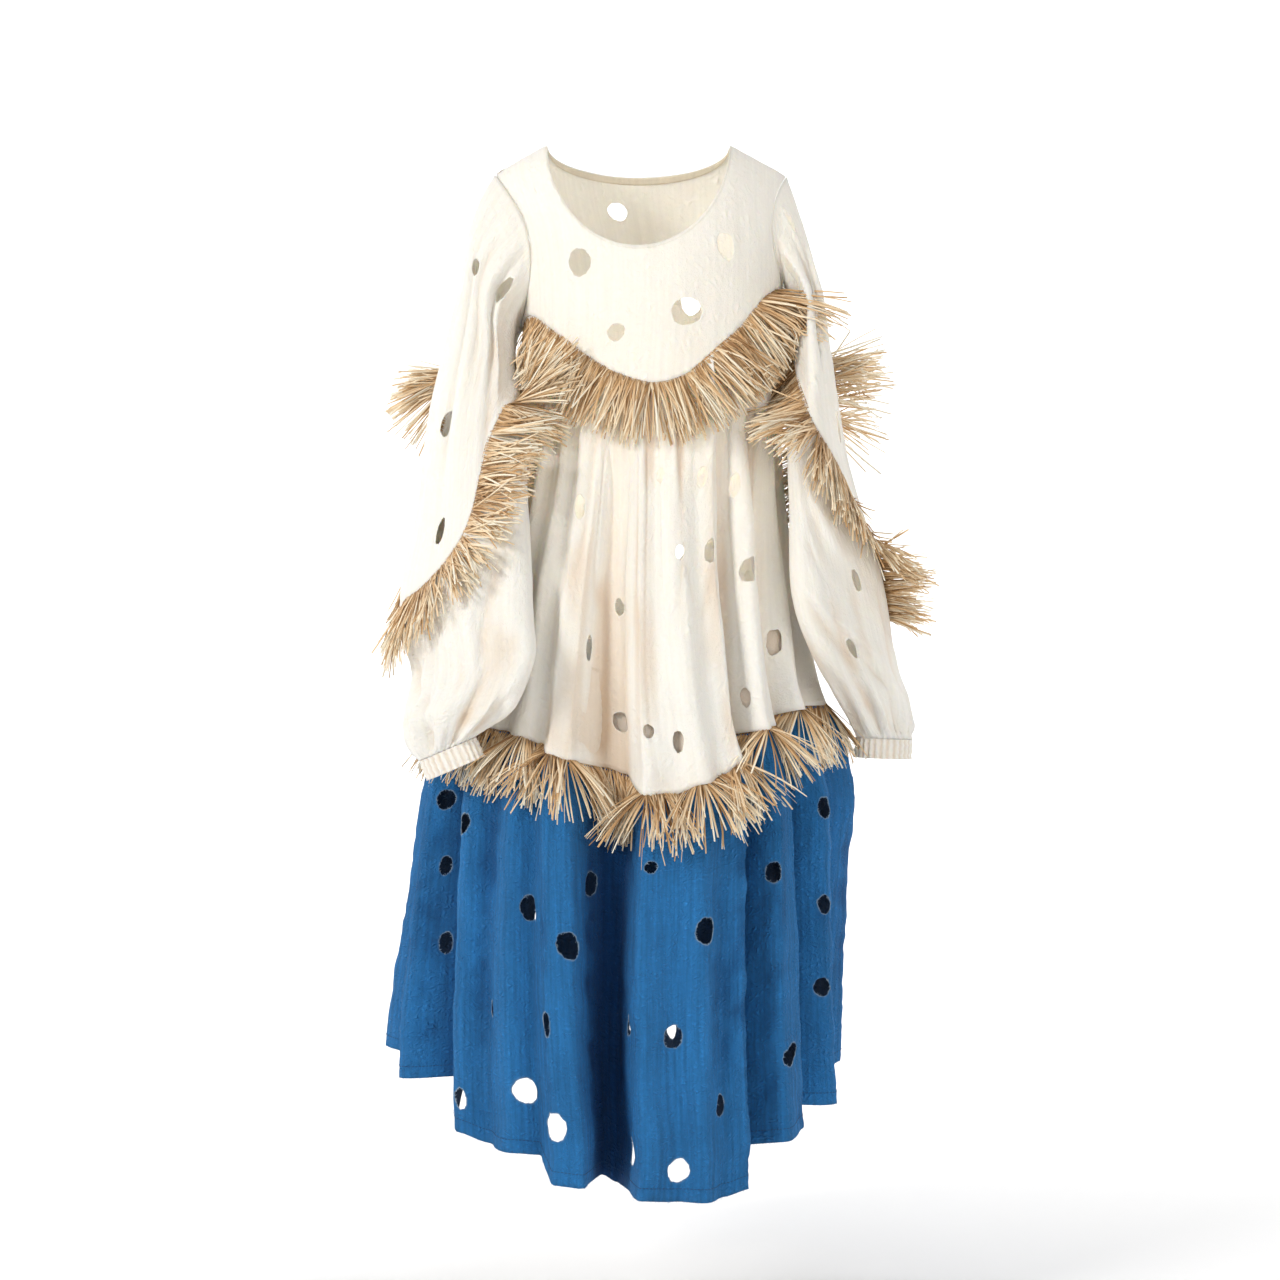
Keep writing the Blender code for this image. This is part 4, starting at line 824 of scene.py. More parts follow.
def face_out(middle: Array, quads: Array, out: Array) -> Array:
    """Cut a layer's four-sided faces in two and turn them outward.

    Args:
        middle: The layer's points.
        quads: The faces, in any arrangement with four corners last.
        out: The direction that looks out of the dress at each point.

    Returns:
        The triangles.
    """
    quads = quads.reshape(-1, 4)
    triangles = np.concatenate([quads[:, [0, 1, 2]], quads[:, [0, 2, 3]]])
    return triangles[:, ::-1] if (mesh_normals(middle, triangles) * out).sum() < 0 else triangles


def thicken(middle: Array, out: Array, triangles: Array, half: float) -> tuple[Array, Array, Array]:
    """Give a middle layer an outer face, an inner face and rims.

    Args:
        middle: The layer's points.
        out: The direction of the outer face at each point.
        triangles: The layer's triangles, seen from outside.
        half: Half of the thickness.

    Returns:
        The points, the triangles of both faces and the four-sided rims.
    """
    count, edges = len(middle), border_edges(triangles)
    rims = np.stack([edges[:, 1], edges[:, 0], edges[:, 0] + count, edges[:, 1] + count], axis=1)
    points = np.concatenate([middle + out * half, middle - out * half])
    return points, np.concatenate([triangles, triangles[:, ::-1] + count]), rims


def both_faces(outer: Array, inner: Array | None = None) -> Array:
    """Values of the outer face, followed by those of the inner face, which are the same by default."""
    return np.concatenate([outer, outer if inner is None else inner])


def ring_places(surface: Surface, share: float, low: float, high: float, count: int) -> Array:
    """Places round a tube, even where they're at a share of its height."""
    return even_places(lambda places: surface(places, full(places, share)), low, high, count)


@dataclass
class MeshParts:
    """Points, triangles and four-sided faces on their way to becoming an object."""

    name: str
    points: Array
    triangles: Array
    quads: Array
    corner_uv: Array | None = None
    values: dict[str, Array] = field(default_factory=dict)

    def make(self, finish: bpy.types.Material) -> bpy.types.Object:
        """Make the object.

        Args:
            finish: Its material.

        Returns:
            The object, with smooth faces, its UV map and its point values.
        """
        mesh = bpy.data.meshes.new(self.name)
        corners = np.concatenate([self.triangles.ravel(), self.quads.ravel()]).astype(np.int32)
        three, four = len(self.triangles), len(self.quads)
        starts = np.concatenate([np.arange(three) * 3, three * 3 + np.arange(four) * 4]).astype(np.int32)
        mesh.vertices.add(len(self.points))
        mesh.vertices.foreach_set("co", self.points.astype(np.float32).ravel())
        mesh.loops.add(len(corners))
        mesh.loops.foreach_set("vertex_index", corners)
        mesh.polygons.add(three + four)
        mesh.polygons.foreach_set("loop_start", starts)
        mesh.update(calc_edges=True)
        if self.corner_uv is not None:
            layer = mesh.uv_layers.new(name="cloth")
            layer.data.foreach_set("uv", self.corner_uv.astype(np.float32).ravel())
        for name, values in self.values.items():
            attribute = mesh.attributes.new(name=name, type="FLOAT", domain="POINT")
            attribute.data.foreach_set("value", np.asarray(values, np.float32))
        mesh.validate()
        mesh.shade_smooth()
        mesh.materials.append(finish)
        piece = bpy.data.objects.new(self.name, mesh)
        bpy.context.scene.collection.objects.link(piece)
        return piece


class Nodes:
    """A node tree, with short ways to add nodes that are set and linked at once."""

    def __init__(self, tree: bpy.types.ShaderNodeTree) -> None:
        """Work on a tree."""
        self.tree = tree

    def fill(self, node: bpy.types.Node, inputs: dict[Any, Any]) -> None:
        """Link a node's inputs to sockets, or set them to values.

        Args:
            node: The node.
            inputs: Sockets and values by the input's name or number.
        """
        for key, value in inputs.items():
            if isinstance(value, bpy.types.NodeSocket):
                self.tree.links.new(value, node.inputs[key])
            else:
                node.inputs[key].default_value = value

    def node(self, kind: str, inputs: dict[Any, Any] | None = None, **settings: Any) -> bpy.types.Node:
        """Add a node.

        Args:
            kind: The node's type.
            inputs: A socket to link or a value to set, by the input's name or number.
            settings: The node's own properties.

        Returns:
            The node.
        """
        made = self.tree.nodes.new(kind)
        for key, value in settings.items():
            setattr(made, key, value)
        self.fill(made, inputs or {})
        return made

    def math(self, operation: str, *values: Any) -> Socket:
        """The result of a sum with sockets and numbers."""
        return self.node("ShaderNodeMath", dict(enumerate(values)), operation=operation).outputs[0]

    def noise(self, vector: Socket, scale: Any, detail: float, kind: str = "FBM", **inputs: float) -> Socket:
        """The value of a noise texture."""
        return self.node("ShaderNodeTexNoise", {"Vector": vector, "Scale": scale, "Detail": detail, **inputs},
                         noise_type=kind).outputs["Fac"]

    def stretched(self, vector: Socket, scale: tuple[float, float, float]) -> Socket:
        """A vector with each part scaled."""
        return self.node("ShaderNodeMapping", {"Vector": vector, "Scale": scale}).outputs[0]


class Effect(Nodes):
    """A shader node group that more than one finish uses."""

    def __init__(self, name: str, inputs: dict[str, float], outputs: tuple[str, ...]) -> None:
        """Start a group that reads a vector and numbers, and puts out numbers.

        Args:
            name: The name.
            inputs: The first value of each number that it reads.
            outputs: What it puts out.
        """
        super().__init__(bpy.data.node_groups.new(name, "ShaderNodeTree"))
        sockets = self.tree.interface
        sockets.new_socket(name="Vector", in_out="INPUT", socket_type="NodeSocketVector")
        for key, value in inputs.items():
            sockets.new_socket(name=key, in_out="INPUT", socket_type="NodeSocketFloat").default_value = value
        for key in outputs:
            sockets.new_socket(name=key, in_out="OUTPUT", socket_type="NodeSocketFloat")
        self.given = self.node("NodeGroupInput").outputs
        self.end = self.node("NodeGroupOutput")

    @staticmethod
    @cache
    def crinkle() -> bpy.types.ShaderNodeTree:
        """Fine relief of washed cloth: crepe-like crinkles drawn out along the thread, and the weave.

        Returns:
            The group, which puts out Height and Streaks.
        """
        group = Effect("crinkle", {"Size": 120.0, "Stretch": 0.35, "Weave": 0.1}, ("Height", "Streaks"))
        place, size = group.given["Vector"], group.given["Size"]
        split = group.node("ShaderNodeSeparateXYZ", {0: place}).outputs
        tall = group.math("MULTIPLY", split["Y"], group.given["Stretch"])
        drawn = group.node("ShaderNodeCombineXYZ", {"X": split["X"], "Y": tall}).outputs[0]
        folds = group.noise(drawn, size, 3.0, "RIDGED_MULTIFRACTAL", Roughness=0.55, Distortion=0.35)
        fine = group.noise(drawn, group.math("MULTIPLY", size, 5.5), 2.0)
        threads = group.noise(group.stretched(place, (1500.0, 260.0, 1.0)), 1.0, 1.0)
        height = group.math("MULTIPLY_ADD", threads, group.given["Weave"],
                            group.math("MULTIPLY_ADD", fine, 0.45, folds))
        streaks = group.noise(group.stretched(place, (180.0, 9.0, 1.0)), 1.0, 4.0)
        group.fill(group.end, {"Height": height, "Streaks": streaks})
        return group.tree

    @staticmethod
    @cache
    def mottle() -> bpy.types.ShaderNodeTree:
        """Uneven colour: broad patches and small flecks, around 1.

        Returns:
            The group, which puts out Shade.
        """
        group = Effect("mottle", {"Patches": 9.0, "Flecks": 160.0}, ("Shade",))
        patches, flecks = (group.noise(group.given["Vector"], group.given[key], detail)
                           for key, detail in (("Patches", 3.0), ("Flecks", 2.0)))
        group.fill(group.end, {"Shade": group.math("MULTIPLY_ADD", flecks, 0.5, patches)})
        return group.tree


class Wiring(Nodes):
    """A material's nodes, with short ways to add the ones that the finishes share."""

    def __init__(self, name: str) -> None:
        """Start a material with its shader.

        Args:
            name: The material's name.
        """
        self.material = bpy.data.materials.new(name)
        self.material.use_nodes = True
        super().__init__(self.material.node_tree)

    def value(self, name: str) -> Socket:
        """Read a value that the mesh holds."""
        return self.node("ShaderNodeAttribute", attribute_name=name).outputs["Fac"]

    def place(self) -> Socket:
        """The place on the flat cloth, from the UV map, in metres."""
        return self.node("ShaderNodeUVMap", uv_map="cloth").outputs[0]

    def effect(self, tree: bpy.types.ShaderNodeTree, vector: Socket, **values: float) -> Any:
        """The output sockets of a shared effect with some values."""
        return self.node("ShaderNodeGroup", {"Vector": vector, **values}, node_tree=tree).outputs

    def mix(self, share: Socket, *colours: Socket | Colour) -> Socket:
        """Blend two colours."""
        first, second = ((*colour, 1.0) if isinstance(colour, tuple) else colour for colour in colours)
        return self.node("ShaderNodeMix", {"Factor": share, 6: first, 7: second}, data_type="RGBA").outputs[2]

    def remap(self, source: Socket, limits: tuple[float, float], to: tuple[float, float]) -> Socket:
        """Bring a value from one range to another."""
        ranges = dict(zip(("From Min", "From Max", "To Min", "To Max"), (*limits, *to)))
        return self.node("ShaderNodeMapRange", {"Value": source, **ranges}).outputs["Result"]

    def shade(self, colour: Socket, amount: Socket) -> Socket:
        """Multiply a colour by a value."""
        return self.node("ShaderNodeVectorMath", {0: colour, "Scale": amount}, operation="SCALE").outputs[0]

    def bump(self, height: Socket, distance: float, strength: float) -> Socket:
        """The normals of the surface when it's raised by a height."""
        inputs = {"Strength": strength, "Distance": distance, "Height": height}
        return self.node("ShaderNodeBump", inputs).outputs[0]

    def shaded(self, **inputs: Any) -> bpy.types.Material:
        """The material with its shader's inputs filled, underscores standing for spaces.

        Args:
            inputs: Sockets and values by the input's name.

        Returns:
            The material.
        """
        shader = self.tree.nodes["Principled BSDF"]
        self.fill(shader, {key.replace("_", " "): value for key, value in inputs.items()})
        return self.material


@dataclass(frozen=True)
class CottonFinish:
    """Washed plain-weave cotton, with painted shade in its folds, creases and crinkles, painted highlight on
    the crinkles' crests, and an inner face with its own painted light and shade.
    """

    name: str
    colour: Colour
    # painted shade: the colour that fold recesses and creases are darkened towards
    deep: Colour
    # the inner face's colour: painted light on the cream, painted shade on the blue
    inside: Colour
    rim: Colour
    crinkle: float
    stretch: float
    height: float
    # how much random mottle and streaks vary the colour, and how strong the painted shade in crinkle troughs
    # and painted highlight on crinkle crests are
    mottle_and_crinkle_shade: float
    sheen: float
    seen_through: float

    def make(self) -> bpy.types.Material:
        """Make the material.

        Returns:
            The material.
        """
        wiring = Wiring(self.name)
        place = wiring.place()
        crinkle = wiring.effect(Effect.crinkle(), place, Size=self.crinkle, Stretch=self.stretch, Weave=0.12)
        mottle = wiring.effect(Effect.mottle(), place, Patches=7.0, Flecks=140.0)
        # painted shade: the depth value darkens the colour towards the deep colour in folds and creases
        colour = wiring.mix(wiring.value("depth"), self.colour, self.deep)
        # the inner face takes its own colour: a painted light on the cream, a painted shade on the blue
        colour = wiring.mix(wiring.value("inside"), colour, self.inside)
        dark, pale = 1 - self.mottle_and_crinkle_shade, 1 + self.mottle_and_crinkle_shade
        # random mottle and streaks, then painted shade in the crinkle troughs and painted highlight on their
        # crests
        for source, limits, low in ((mottle["Shade"], (0.35, 1.15), dark),
                                    (crinkle["Streaks"], (0.3, 0.7), dark),
                                    (crinkle["Height"], (0.35, 1.25), 1 - self.mottle_and_crinkle_shade * 1.3)):
            colour = wiring.shade(colour, wiring.remap(source, limits, (low, pale)))
        return wiring.shaded(
            Base_Color=wiring.mix(wiring.value("fray"), colour, self.rim),
            Roughness=wiring.remap(crinkle["Height"], (0.2, 1.6), (0.78, 0.95)),
            Normal=wiring.bump(crinkle["Height"], self.height, 0.9),
            Sheen_Weight=self.sheen, Sheen_Roughness=0.5, IOR=1.4, Specular_IOR_Level=0.25,
            Subsurface_Weight=self.seen_through, Subsurface_Scale=0.0015,
            Subsurface_Radius=(1.0, 0.8, 0.55),
        )


@dataclass(frozen=True)
class RaffiaFinish:
    """Dry raffia in strands, each a little different in tone, the tone also carrying painted shade towards
    the roots.
    """

    name: str
    tones: tuple[Colour, ...]
    gloss: float

    def make(self) -> bpy.types.Material:
        """Make the material.

        Returns:
            The material.
        """
        wiring = Wiring(self.name)
        ramp = wiring.node("ShaderNodeValToRGB", {"Fac": wiring.value("tone")})
        last = len(self.tones) - 1
        stops = ramp.color_ramp.elements
        for number in range(1, last):
            stops.new(number / last)
        for stop, tone in zip(stops, self.tones):
            stop.color = (*tone, 1.0)
        place = wiring.stretched(wiring.place(), (42.0, 3.0, 1.0))
        fibres = wiring.effect(Effect.mottle(), place, Patches=1.0, Flecks=4.0)["Shade"]
        shade = wiring.remap(fibres, (0.4, 1.1), (0.80, 1.18))
        return wiring.shaded(
            Base_Color=wiring.shade(ramp.outputs["Color"], shade),
            Roughness=wiring.remap(fibres, (0.4, 1.1), (self.gloss, self.gloss + 0.2)),
            Normal=wiring.bump(fibres, 0.0004, 0.8), Specular_IOR_Level=0.4,
        )


@dataclass(frozen=True)
class ThreadFinish:
    """Plain sewing or raw thread."""

    name: str
    colour: Colour

    def make(self) -> bpy.types.Material:
        """Make the material.

        Returns:
            The material.
        """
        wiring = Wiring(self.name)
        fibres = wiring.effect(Effect.mottle(), wiring.place(), Patches=6.0, Flecks=30.0)["Shade"]
        pale = tuple(min(1.0, part * 1.2) for part in self.colour)
        dark = tuple(part * 0.8 for part in self.colour)
        return wiring.shaded(
            Base_Color=wiring.mix(wiring.remap(fibres, (0.4, 1.1), (0.0, 1.0)), dark, pale),
            Roughness=wiring.remap(fibres, (0.4, 1.1), (0.75, 0.9)),
            Normal=wiring.bump(fibres, 0.0002, 0.5),
        )


class Cloth(Enum):
    """The dress's finishes."""

    # Each cotton's colours, in order: its own colour, the painted shade of its fold recesses, the inner
    # face's colour (painted light on the cream, painted shade on the blue) and the frayed rim.
    CREAM = CottonFinish("cream_cotton", (0.900, 0.865, 0.800), (0.71, 0.55, 0.40), (0.93, 0.90, 0.84),
                         (0.90, 0.86, 0.78), 105.0, 0.80, 0.0022, 0.030, 0.12, 0.45)
    BLUE = CottonFinish("indigo_cotton", (0.036, 0.300, 0.770), (0.004, 0.088, 0.310), (0.012, 0.060, 0.165),
                        (0.40, 0.54, 0.68), 165.0, 1.25, 0.0135, 0.20, 0.04, 0.0)
    TAPE = CottonFinish("beige_tape", (0.80, 0.72, 0.58), (0.70, 0.60, 0.45), (0.78, 0.70, 0.56),
                        (0.80, 0.72, 0.58), 300.0, 1.0, 0.0003, 0.05, 0.10, 0.3)
    RAFFIA = RaffiaFinish("raffia", ((0.30, 0.150, 0.055), (0.74, 0.47, 0.23), (0.99, 0.81, 0.56),
                                     (1.00, 0.95, 0.80)), 0.42)
    BLUE_THREAD = ThreadFinish("pale_blue_thread", (0.45, 0.60, 0.76))
    CREAM_THREAD = ThreadFinish("cream_thread", (0.86, 0.82, 0.72))
    INDIGO_THREAD = ThreadFinish("indigo_thread", (0.02, 0.09, 0.23))

    def material(self) -> bpy.types.Material:
        """The finish's material, made on first use.

        Returns:
            The material.
        """
        name = self.value.name + "_finish"
        made = bpy.data.materials.get(name)
        if made is None:
            made = self.value.make()
            made.name = name
        return made


def dress_piece(parts: MeshParts, finish: Cloth, slot: str, *nodes: str) -> bpy.types.Object:
    """Make a piece of the dress.

    Args:
        parts: Its mesh.
        finish: Its finish.
        slot: Its material slot; not used.
        nodes: The CAD nodes that it stands for.

    Returns:
        The piece, on the dress's one body.
    """
    piece = parts.make(finish.material())
    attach(piece, ROOT_BODY)
    if nodes:
        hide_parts(*nodes)
    log.info("%s: %d points", parts.name, len(parts.points))
    return piece


@dataclass
class Layer:
    """A layer of cloth without holes that is to be given a thickness."""

    name: str
    middle: Array
    triangles: Array
    out: Array
    flat: Array

    def parts(self, half: float, depth: Array, inside: Array) -> MeshParts:
        """The mesh, with a thickness of twice half and with point values for its finish.

        Args:
            half: Half of the thickness.
            depth: How deep in a fold each point lies, which sets its painted fold shade.
            inside: How much each point of the inner face takes the inner face's colour, which holds painted
                light and shade.

        Returns:
            The mesh.
        """
        points, faces, rims = thicken(self.middle, self.out, self.triangles, half)
        flat, none = both_faces(self.flat), full(self.middle, 0.0)
        uv = np.concatenate([flat[faces].reshape(-1, 2), flat[rims].reshape(-1, 2)])
        return MeshParts(self.name, points, faces, rims, uv,
                         {"depth": both_faces(depth), "fray": both_faces(none),
                          "inside": both_faces(none, inside)})


@dataclass(frozen=True)
class HoleGroup:
    """The holes of one CAD node, and the stretch of the surface to look for them on."""

    name: str
    across: tuple[float, float]
    down: tuple[float, float]
    front: bool


@dataclass
class ClothCut:
    """A cut of cloth laid on a surface, with its torn holes."""

    name: str
    surface: Surface
    outline: Array
    scale: tuple[float, float]
    grid: Array
    hand: int = 1
    columns: Array | None = None
    hole_groups: tuple[HoleGroup, ...] = ()
    relief: Surface | None = None
    # how deep in a fold each place lies, which sets the painted fold shade
    depth: Surface | None = None
    hole_corners: int = 26
    small_hole: float = 0.02
    hole_lobes: tuple[int, int] = (7, 9)
    lobe_sizes: tuple[float, float] = (0.88, 1.08)
    corner_sizes: tuple[float, float] = (0.93, 1.04)
    hole_rings: tuple[float, ...] = (0.0014, 0.0035)
    edge_room: float = 0.0028
    hole_room: float = 0.0062
    curl: float = 0.0006
    curl_reach: float = 0.005
    curl_bump: float = 0.007
    fray_reach: float = 0.0016
    fray_bump: float = 0.004
    join_share: float = 0.08
    shade_of_hollows: float = 0.55
    hollow_reach: float = 0.0045
    area: float = 0.0
    lengths: Array = field(default_factory=lambda: np.zeros(0))
    middle: Array = field(default_factory=lambda: np.zeros((0, 3)))
    out: Array = field(default_factory=lambda: np.zeros((0, 3)))
    triangles: Array = field(default_factory=NO_TRIANGLES.copy)
    hole_edges: list[Array] = field(default_factory=list)

    def __post_init__(self) -> None:
        """Measure a tube's length round, to which its places are brought."""
        if self.columns is not None:
            ring = self.surface(self.columns, full(self.columns, 0.6))
            around = float(np.linalg.norm(np.diff(ring, axis=0), axis=1).sum())
            self.lengths = np.linspace(0, around, len(self.columns))

    def flat(self, places: Array) -> Array:
        """Places brought to metres on the flat cloth, the second one pointing up.

        Args:
            places: Pairs of coordinates on the surface.

        Returns:
            Points of the flat cloth, in metres.
        """
        if self.columns is None:
            u = places[:, 0] * self.scale[0]
        else:
            u = np.interp(places[:, 0], self.columns, self.lengths)
        return np.stack([u, -places[:, 1] * self.scale[1]], axis=1)

    def places(self, flat: Array) -> tuple[Array, Array]:
        """Flat metres brought back to places on the surface.

        Args:
            flat: Points of the flat cloth, in metres.

        Returns:
            The first and the second coordinates.
        """
        if self.columns is None:
            across = flat[:, 0] / self.scale[0]
        else:
            across = np.interp(flat[:, 0], self.lengths, self.columns)
        return across, -flat[:, 1] / self.scale[1]

    def raised(self, flat: Array) -> Array:
        """The relief at flat metres, which closes on itself round a tube.

        Args:
            flat: Points of the flat cloth, in metres.

        Returns:
            How far each place is raised.
        """
        if self.relief is None:
            return np.zeros(len(flat))
        u, v = flat[:, 0], -flat[:, 1]
        value = self.relief(u, v)
        if self.columns is not None:
            around = self.lengths[-1]
            share = soft_step((u / around - (1 - self.join_share)) / self.join_share)
            value = value * (1 - share) + self.relief(u - around, v) * share
        return value

    def on_cloth(self, across: Array, down: Array, lift: float = 0.0) -> Array:
        """Points of the finished cloth, or raised off it, at places.

        Args:
            across: First coordinates on the surface.
            down: Second coordinates on the surface.
            lift: How far off the middle of the cloth.

        Returns:
            The points.
        """
        out = outward(self.surface, across, down, self.hand)
        raised = self.raised(self.flat(np.stack([across, down], axis=1)))
        return self.surface(across, down) + out * (raised + lift)[:, None]

    def find_places(self, group: HoleGroup) -> list[Array]:
        """Where each hole of a group lies on the surface, as seen from the front or from behind.

        Args:
            group: The group.

        Returns:
            Each hole's pair of coordinates.
        """
        across, down = np.meshgrid(np.linspace(*group.across, 240), np.linspace(*group.down, 120))
        across, down = across.ravel(), down.ravel()
        points = self.surface(across, down)
        toward_back = points[:, 1] if group.front else -points[:, 1]
        places = []
        for hole in HOLES[group.name]:
            away = np.hypot(points[:, 0] - hole.x, points[:, 2] - hole.z)
            best = np.argmin(away + 0.1 * (toward_back - toward_back.min()))
            places.append(np.array([across[best], down[best]]))
        return places

    def hole_outline(self, place: Array, hole: Hole, seed: int) -> Array:
        """The uneven edge of a torn hole, of real size along the cloth.

        Args:
            place: The hole's coordinates on the surface.
            hole: The hole.
            seed: Chooses one of many shapes.

        Returns:
            The outline's coordinates on the surface.
        """
        spin = random.Random(seed)
        corners = self.hole_lobes[hole.width >= self.small_hole]
        uneven = np.array([spin.uniform(*self.lobe_sizes) for _ in range(corners)])
        turn = np.linspace(0, 2 * math.pi, self.hole_corners, endpoint=False)
        wrapped = np.concatenate([uneven, uneven[:1]])
        size = np.interp(turn, np.linspace(0, 2 * math.pi, corners + 1), wrapped)
        size = size * np.array([spin.uniform(*self.corner_sizes) for _ in turn])
        wide = hole.width / 2 * np.cos(turn) * size
        high = hole.height / 2 * np.sin(turn) * size
        tilt = math.radians(hole.tilt)
        right = wide * math.cos(tilt) - high * math.sin(tilt)
        up = wide * math.sin(tilt) + high * math.cos(tilt)
        across, down = full(turn, place[0]), full(turn, place[1])
        steps, nudge = 8, 1e-4
        for _ in range(steps):
            here = self.surface(across, down)
            for_across = np.linalg.norm(self.surface(across + nudge, down) - here, axis=-1) / nudge
            for_down = np.linalg.norm(self.surface(across, down + nudge) - here, axis=-1) / nudge
            across = across + right / steps / for_across
            down = down - up / steps / for_down
        return np.stack([across, down], axis=1)

    def cut_holes(self) -> tuple[list[Array], list[Array]]:
        """The outlines of the holes, and rings of places just outside them.

        Returns:
            The outlines and the rings, in coordinates on the surface.
        """
        outlines, guides = [], []
        for group in self.hole_groups:
            for number, (place, hole) in enumerate(zip(self.find_places(group), HOLES[group.name])):
                outline = self.hole_outline(place, hole, number)
                outlines.append(outline)
                radius, middle = (hole.width + hole.height) / 4, outline.mean(axis=0)
                guides += [middle + (outline - middle) * (1 + reach / radius) for reach in self.hole_rings]
        return outlines, guides

    def inner_points(self, loops: list[Array], guides: list[Array]) -> Array:
        """The flat points inside the cloth, clear of its edges, denser round the holes.

        Args:
            loops: The outline and the holes, flat.
            guides: Rings of places round the holes.

        Returns:
            Points of the flat cloth.
        """
        grid = self.flat(self.grid)
        keep = np.ones(len(grid), bool)
        if self.columns is None:
            keep = inside_loop(grid, loops[0]) & ~near_loop(grid, loops[0], self.edge_room)
        for loop in loops[1:]:
            keep &= ~inside_loop(grid, loop) & ~near_loop(grid, loop, self.hole_room)
        grid = grid[keep]
        if guides:
            rings = self.flat(np.concatenate(guides))
            low, high = loops[0].min(axis=0) + 0.001, loops[0].max(axis=0) - 0.001
            inner = np.all((rings > low) & (rings < high), axis=1)
            for loop in loops[1:]:
                inner &= ~inside_loop(rings, loop)
            grid = np.concatenate([grid, rings[inner]])
        return grid

    def join(self, flat: Array, triangles: Array) -> Array:
        """The triangles with a tube's last column joined to its first.

        Args:
            flat: Points of the flat cloth, in metres.
            triangles: The triangles.

        Returns:
            The triangles, some of their corners numbered anew.
        """
        if self.columns is None:
            return triangles
        first_row = {round(float(height), 6): i for i, (u, height) in enumerate(flat) if u < 1e-5}
        swap = np.arange(len(flat))
        for i in np.flatnonzero(flat[:, 0] > self.lengths[-1] - 1e-5):
            swap[i] = first_row[round(float(flat[i, 1]), 6)]
        return swap[triangles]

    def lay(self, flat: Array, edge_gap: Array, across: Array, down: Array) -> Array:
        """The cut's flat points laid on its surface, raised by the relief and curled at the holes.

        Args:
            flat: Points of the flat cloth, in metres.
            edge_gap: How far each point is from a hole.
            across: First coordinates on the surface.
            down: Second coordinates on the surface.

        Returns:
            The points of the middle layer.
        """
        points = self.surface(across, down)
        out = mesh_normals(points, self.triangles)
        points = points + out * self.raised(flat)[:, None]
        if self.hole_groups:
            lift = self.uneven(flat, self.curl_bump, 77) * 0.7 + 0.4
            curl = self.curl * lift * np.clip(1 - edge_gap / self.curl_reach, 0, 1)
            points = points + out * curl[:, None]
        return points

    @staticmethod
    def uneven(flat: Array, bump: float, seed: int) -> Array:
        """Unevenness over the flat cloth, a bump's size given in metres."""
        metres = flat * FLIP
        return lattice_noise(metres[:, 0] / bump, metres[:, 1] / bump, seed)

    def build(self, finish: Cloth, slot: str, *nodes: str) -> bpy.types.Object:
        """Cut the cloth, lay it on its surface, give it its thickness and make the piece.

        Args:
            finish: Its finish.
            slot: Its material slot.
            nodes: The CAD nodes that it stands for.

        Returns:
            The piece.
        """
        outlines, guides = self.cut_holes()
        loops = [self.flat(outline) for outline in (self.outline, *outlines)]
        flat, flat_triangles = triangulate(loops, self.inner_points(loops, guides))
        joined = self.join(flat, flat_triangles)
        corners = (flat * FLIP)[flat_triangles]
        if self.hand < 0:
            joined, corners = joined[:, ::-1], corners[:, ::-1]
        used, numbered = np.unique(joined, return_inverse=True)
        self.triangles = numbered.reshape(-1, 3)
        flat = flat[used]
        across, down = self.places(flat)
        edge_gap = np.min([full(flat, 1.0), *(self.gap_to(flat, loop) for loop in loops[1:])], axis=0)
        points = self.middle = self.lay(flat, edge_gap, across, down)
        self.out = mesh_normals(points, self.triangles)
        self.area = mesh_area(points, self.triangles)
        for loop in loops[1:]:
            near = [int(np.argmin(((flat - corner) ** 2).sum(axis=1))) for corner in loop]
            self.hole_edges.append(points[near])
        shell, faces, rims = thicken(points, self.out, self.triangles, SHELL / 2)
        again = self.flat(np.stack([across, down], axis=1))
        uv = np.concatenate([part.reshape(-1, 2) for part in
                             (corners, corners[:, ::-1], both_faces(again * FLIP)[rims])])
        torn = np.clip(self.uneven(flat, self.fray_bump, 78) * 0.6 + 0.55, 0.05, 1)
        fray = np.clip(1 - edge_gap / self.fray_reach, 0, 1) * torn
        # painted shade: the hollows of the relief and the fold depth darken the colour towards the fold shade
        # colour
        hollow = soft_step(-(self.raised(again) + 0.0008) / self.hollow_reach)
        depth = full(points, 0.0) if self.depth is None else self.depth(across, down)
        depth = np.clip(depth + self.shade_of_hollows * hollow, 0, 1)
        # the inner face takes the inner-face colour, with its painted light and shade
        values = {"depth": both_faces(depth), "fray": both_faces(fray),
                  "inside": both_faces(full(points, 0.0), full(points, 1.0))}
        return dress_piece(MeshParts(self.name, shell, faces, rims, uv, values), finish, slot, *nodes)

    @staticmethod
    def gap_to(points: Array, loop: Array) -> Array:
        """How far flat points are from a loop's corners, 1 for those that are far away.

        Args:
            points: The points.
            loop: The loop's corners.

        Returns:
            The distances.
        """
        margin = 0.008
        low, high = loop.min(axis=0) - margin, loop.max(axis=0) + margin
        gap = full(points, 1.0)
        close = np.flatnonzero(np.all((points >= low) & (points <= high), axis=1))
        if len(close):
            gap[close] = np.linalg.norm(points[close][:, None] - loop, axis=2).min(axis=1)
        return gap


def even_places(point: Callable[[Array], Array], low: float, high: float, count: int) -> Array:
    """Places that divide a path into stretches of nearly even real length.

    Args:
        point: Gives the points at places of the path.
        low: The first place.
        high: The last place.
        count: How many stretches.

    Returns:
        The places, one more than count.
    """
    fine = np.linspace(low, high, 1600)
    length = run_length(point(fine))
    share = length / length[-1] * 0.85 + (fine - low) / (high - low) * 0.15
    return np.interp(np.linspace(0, 1, count + 1), share, fine)


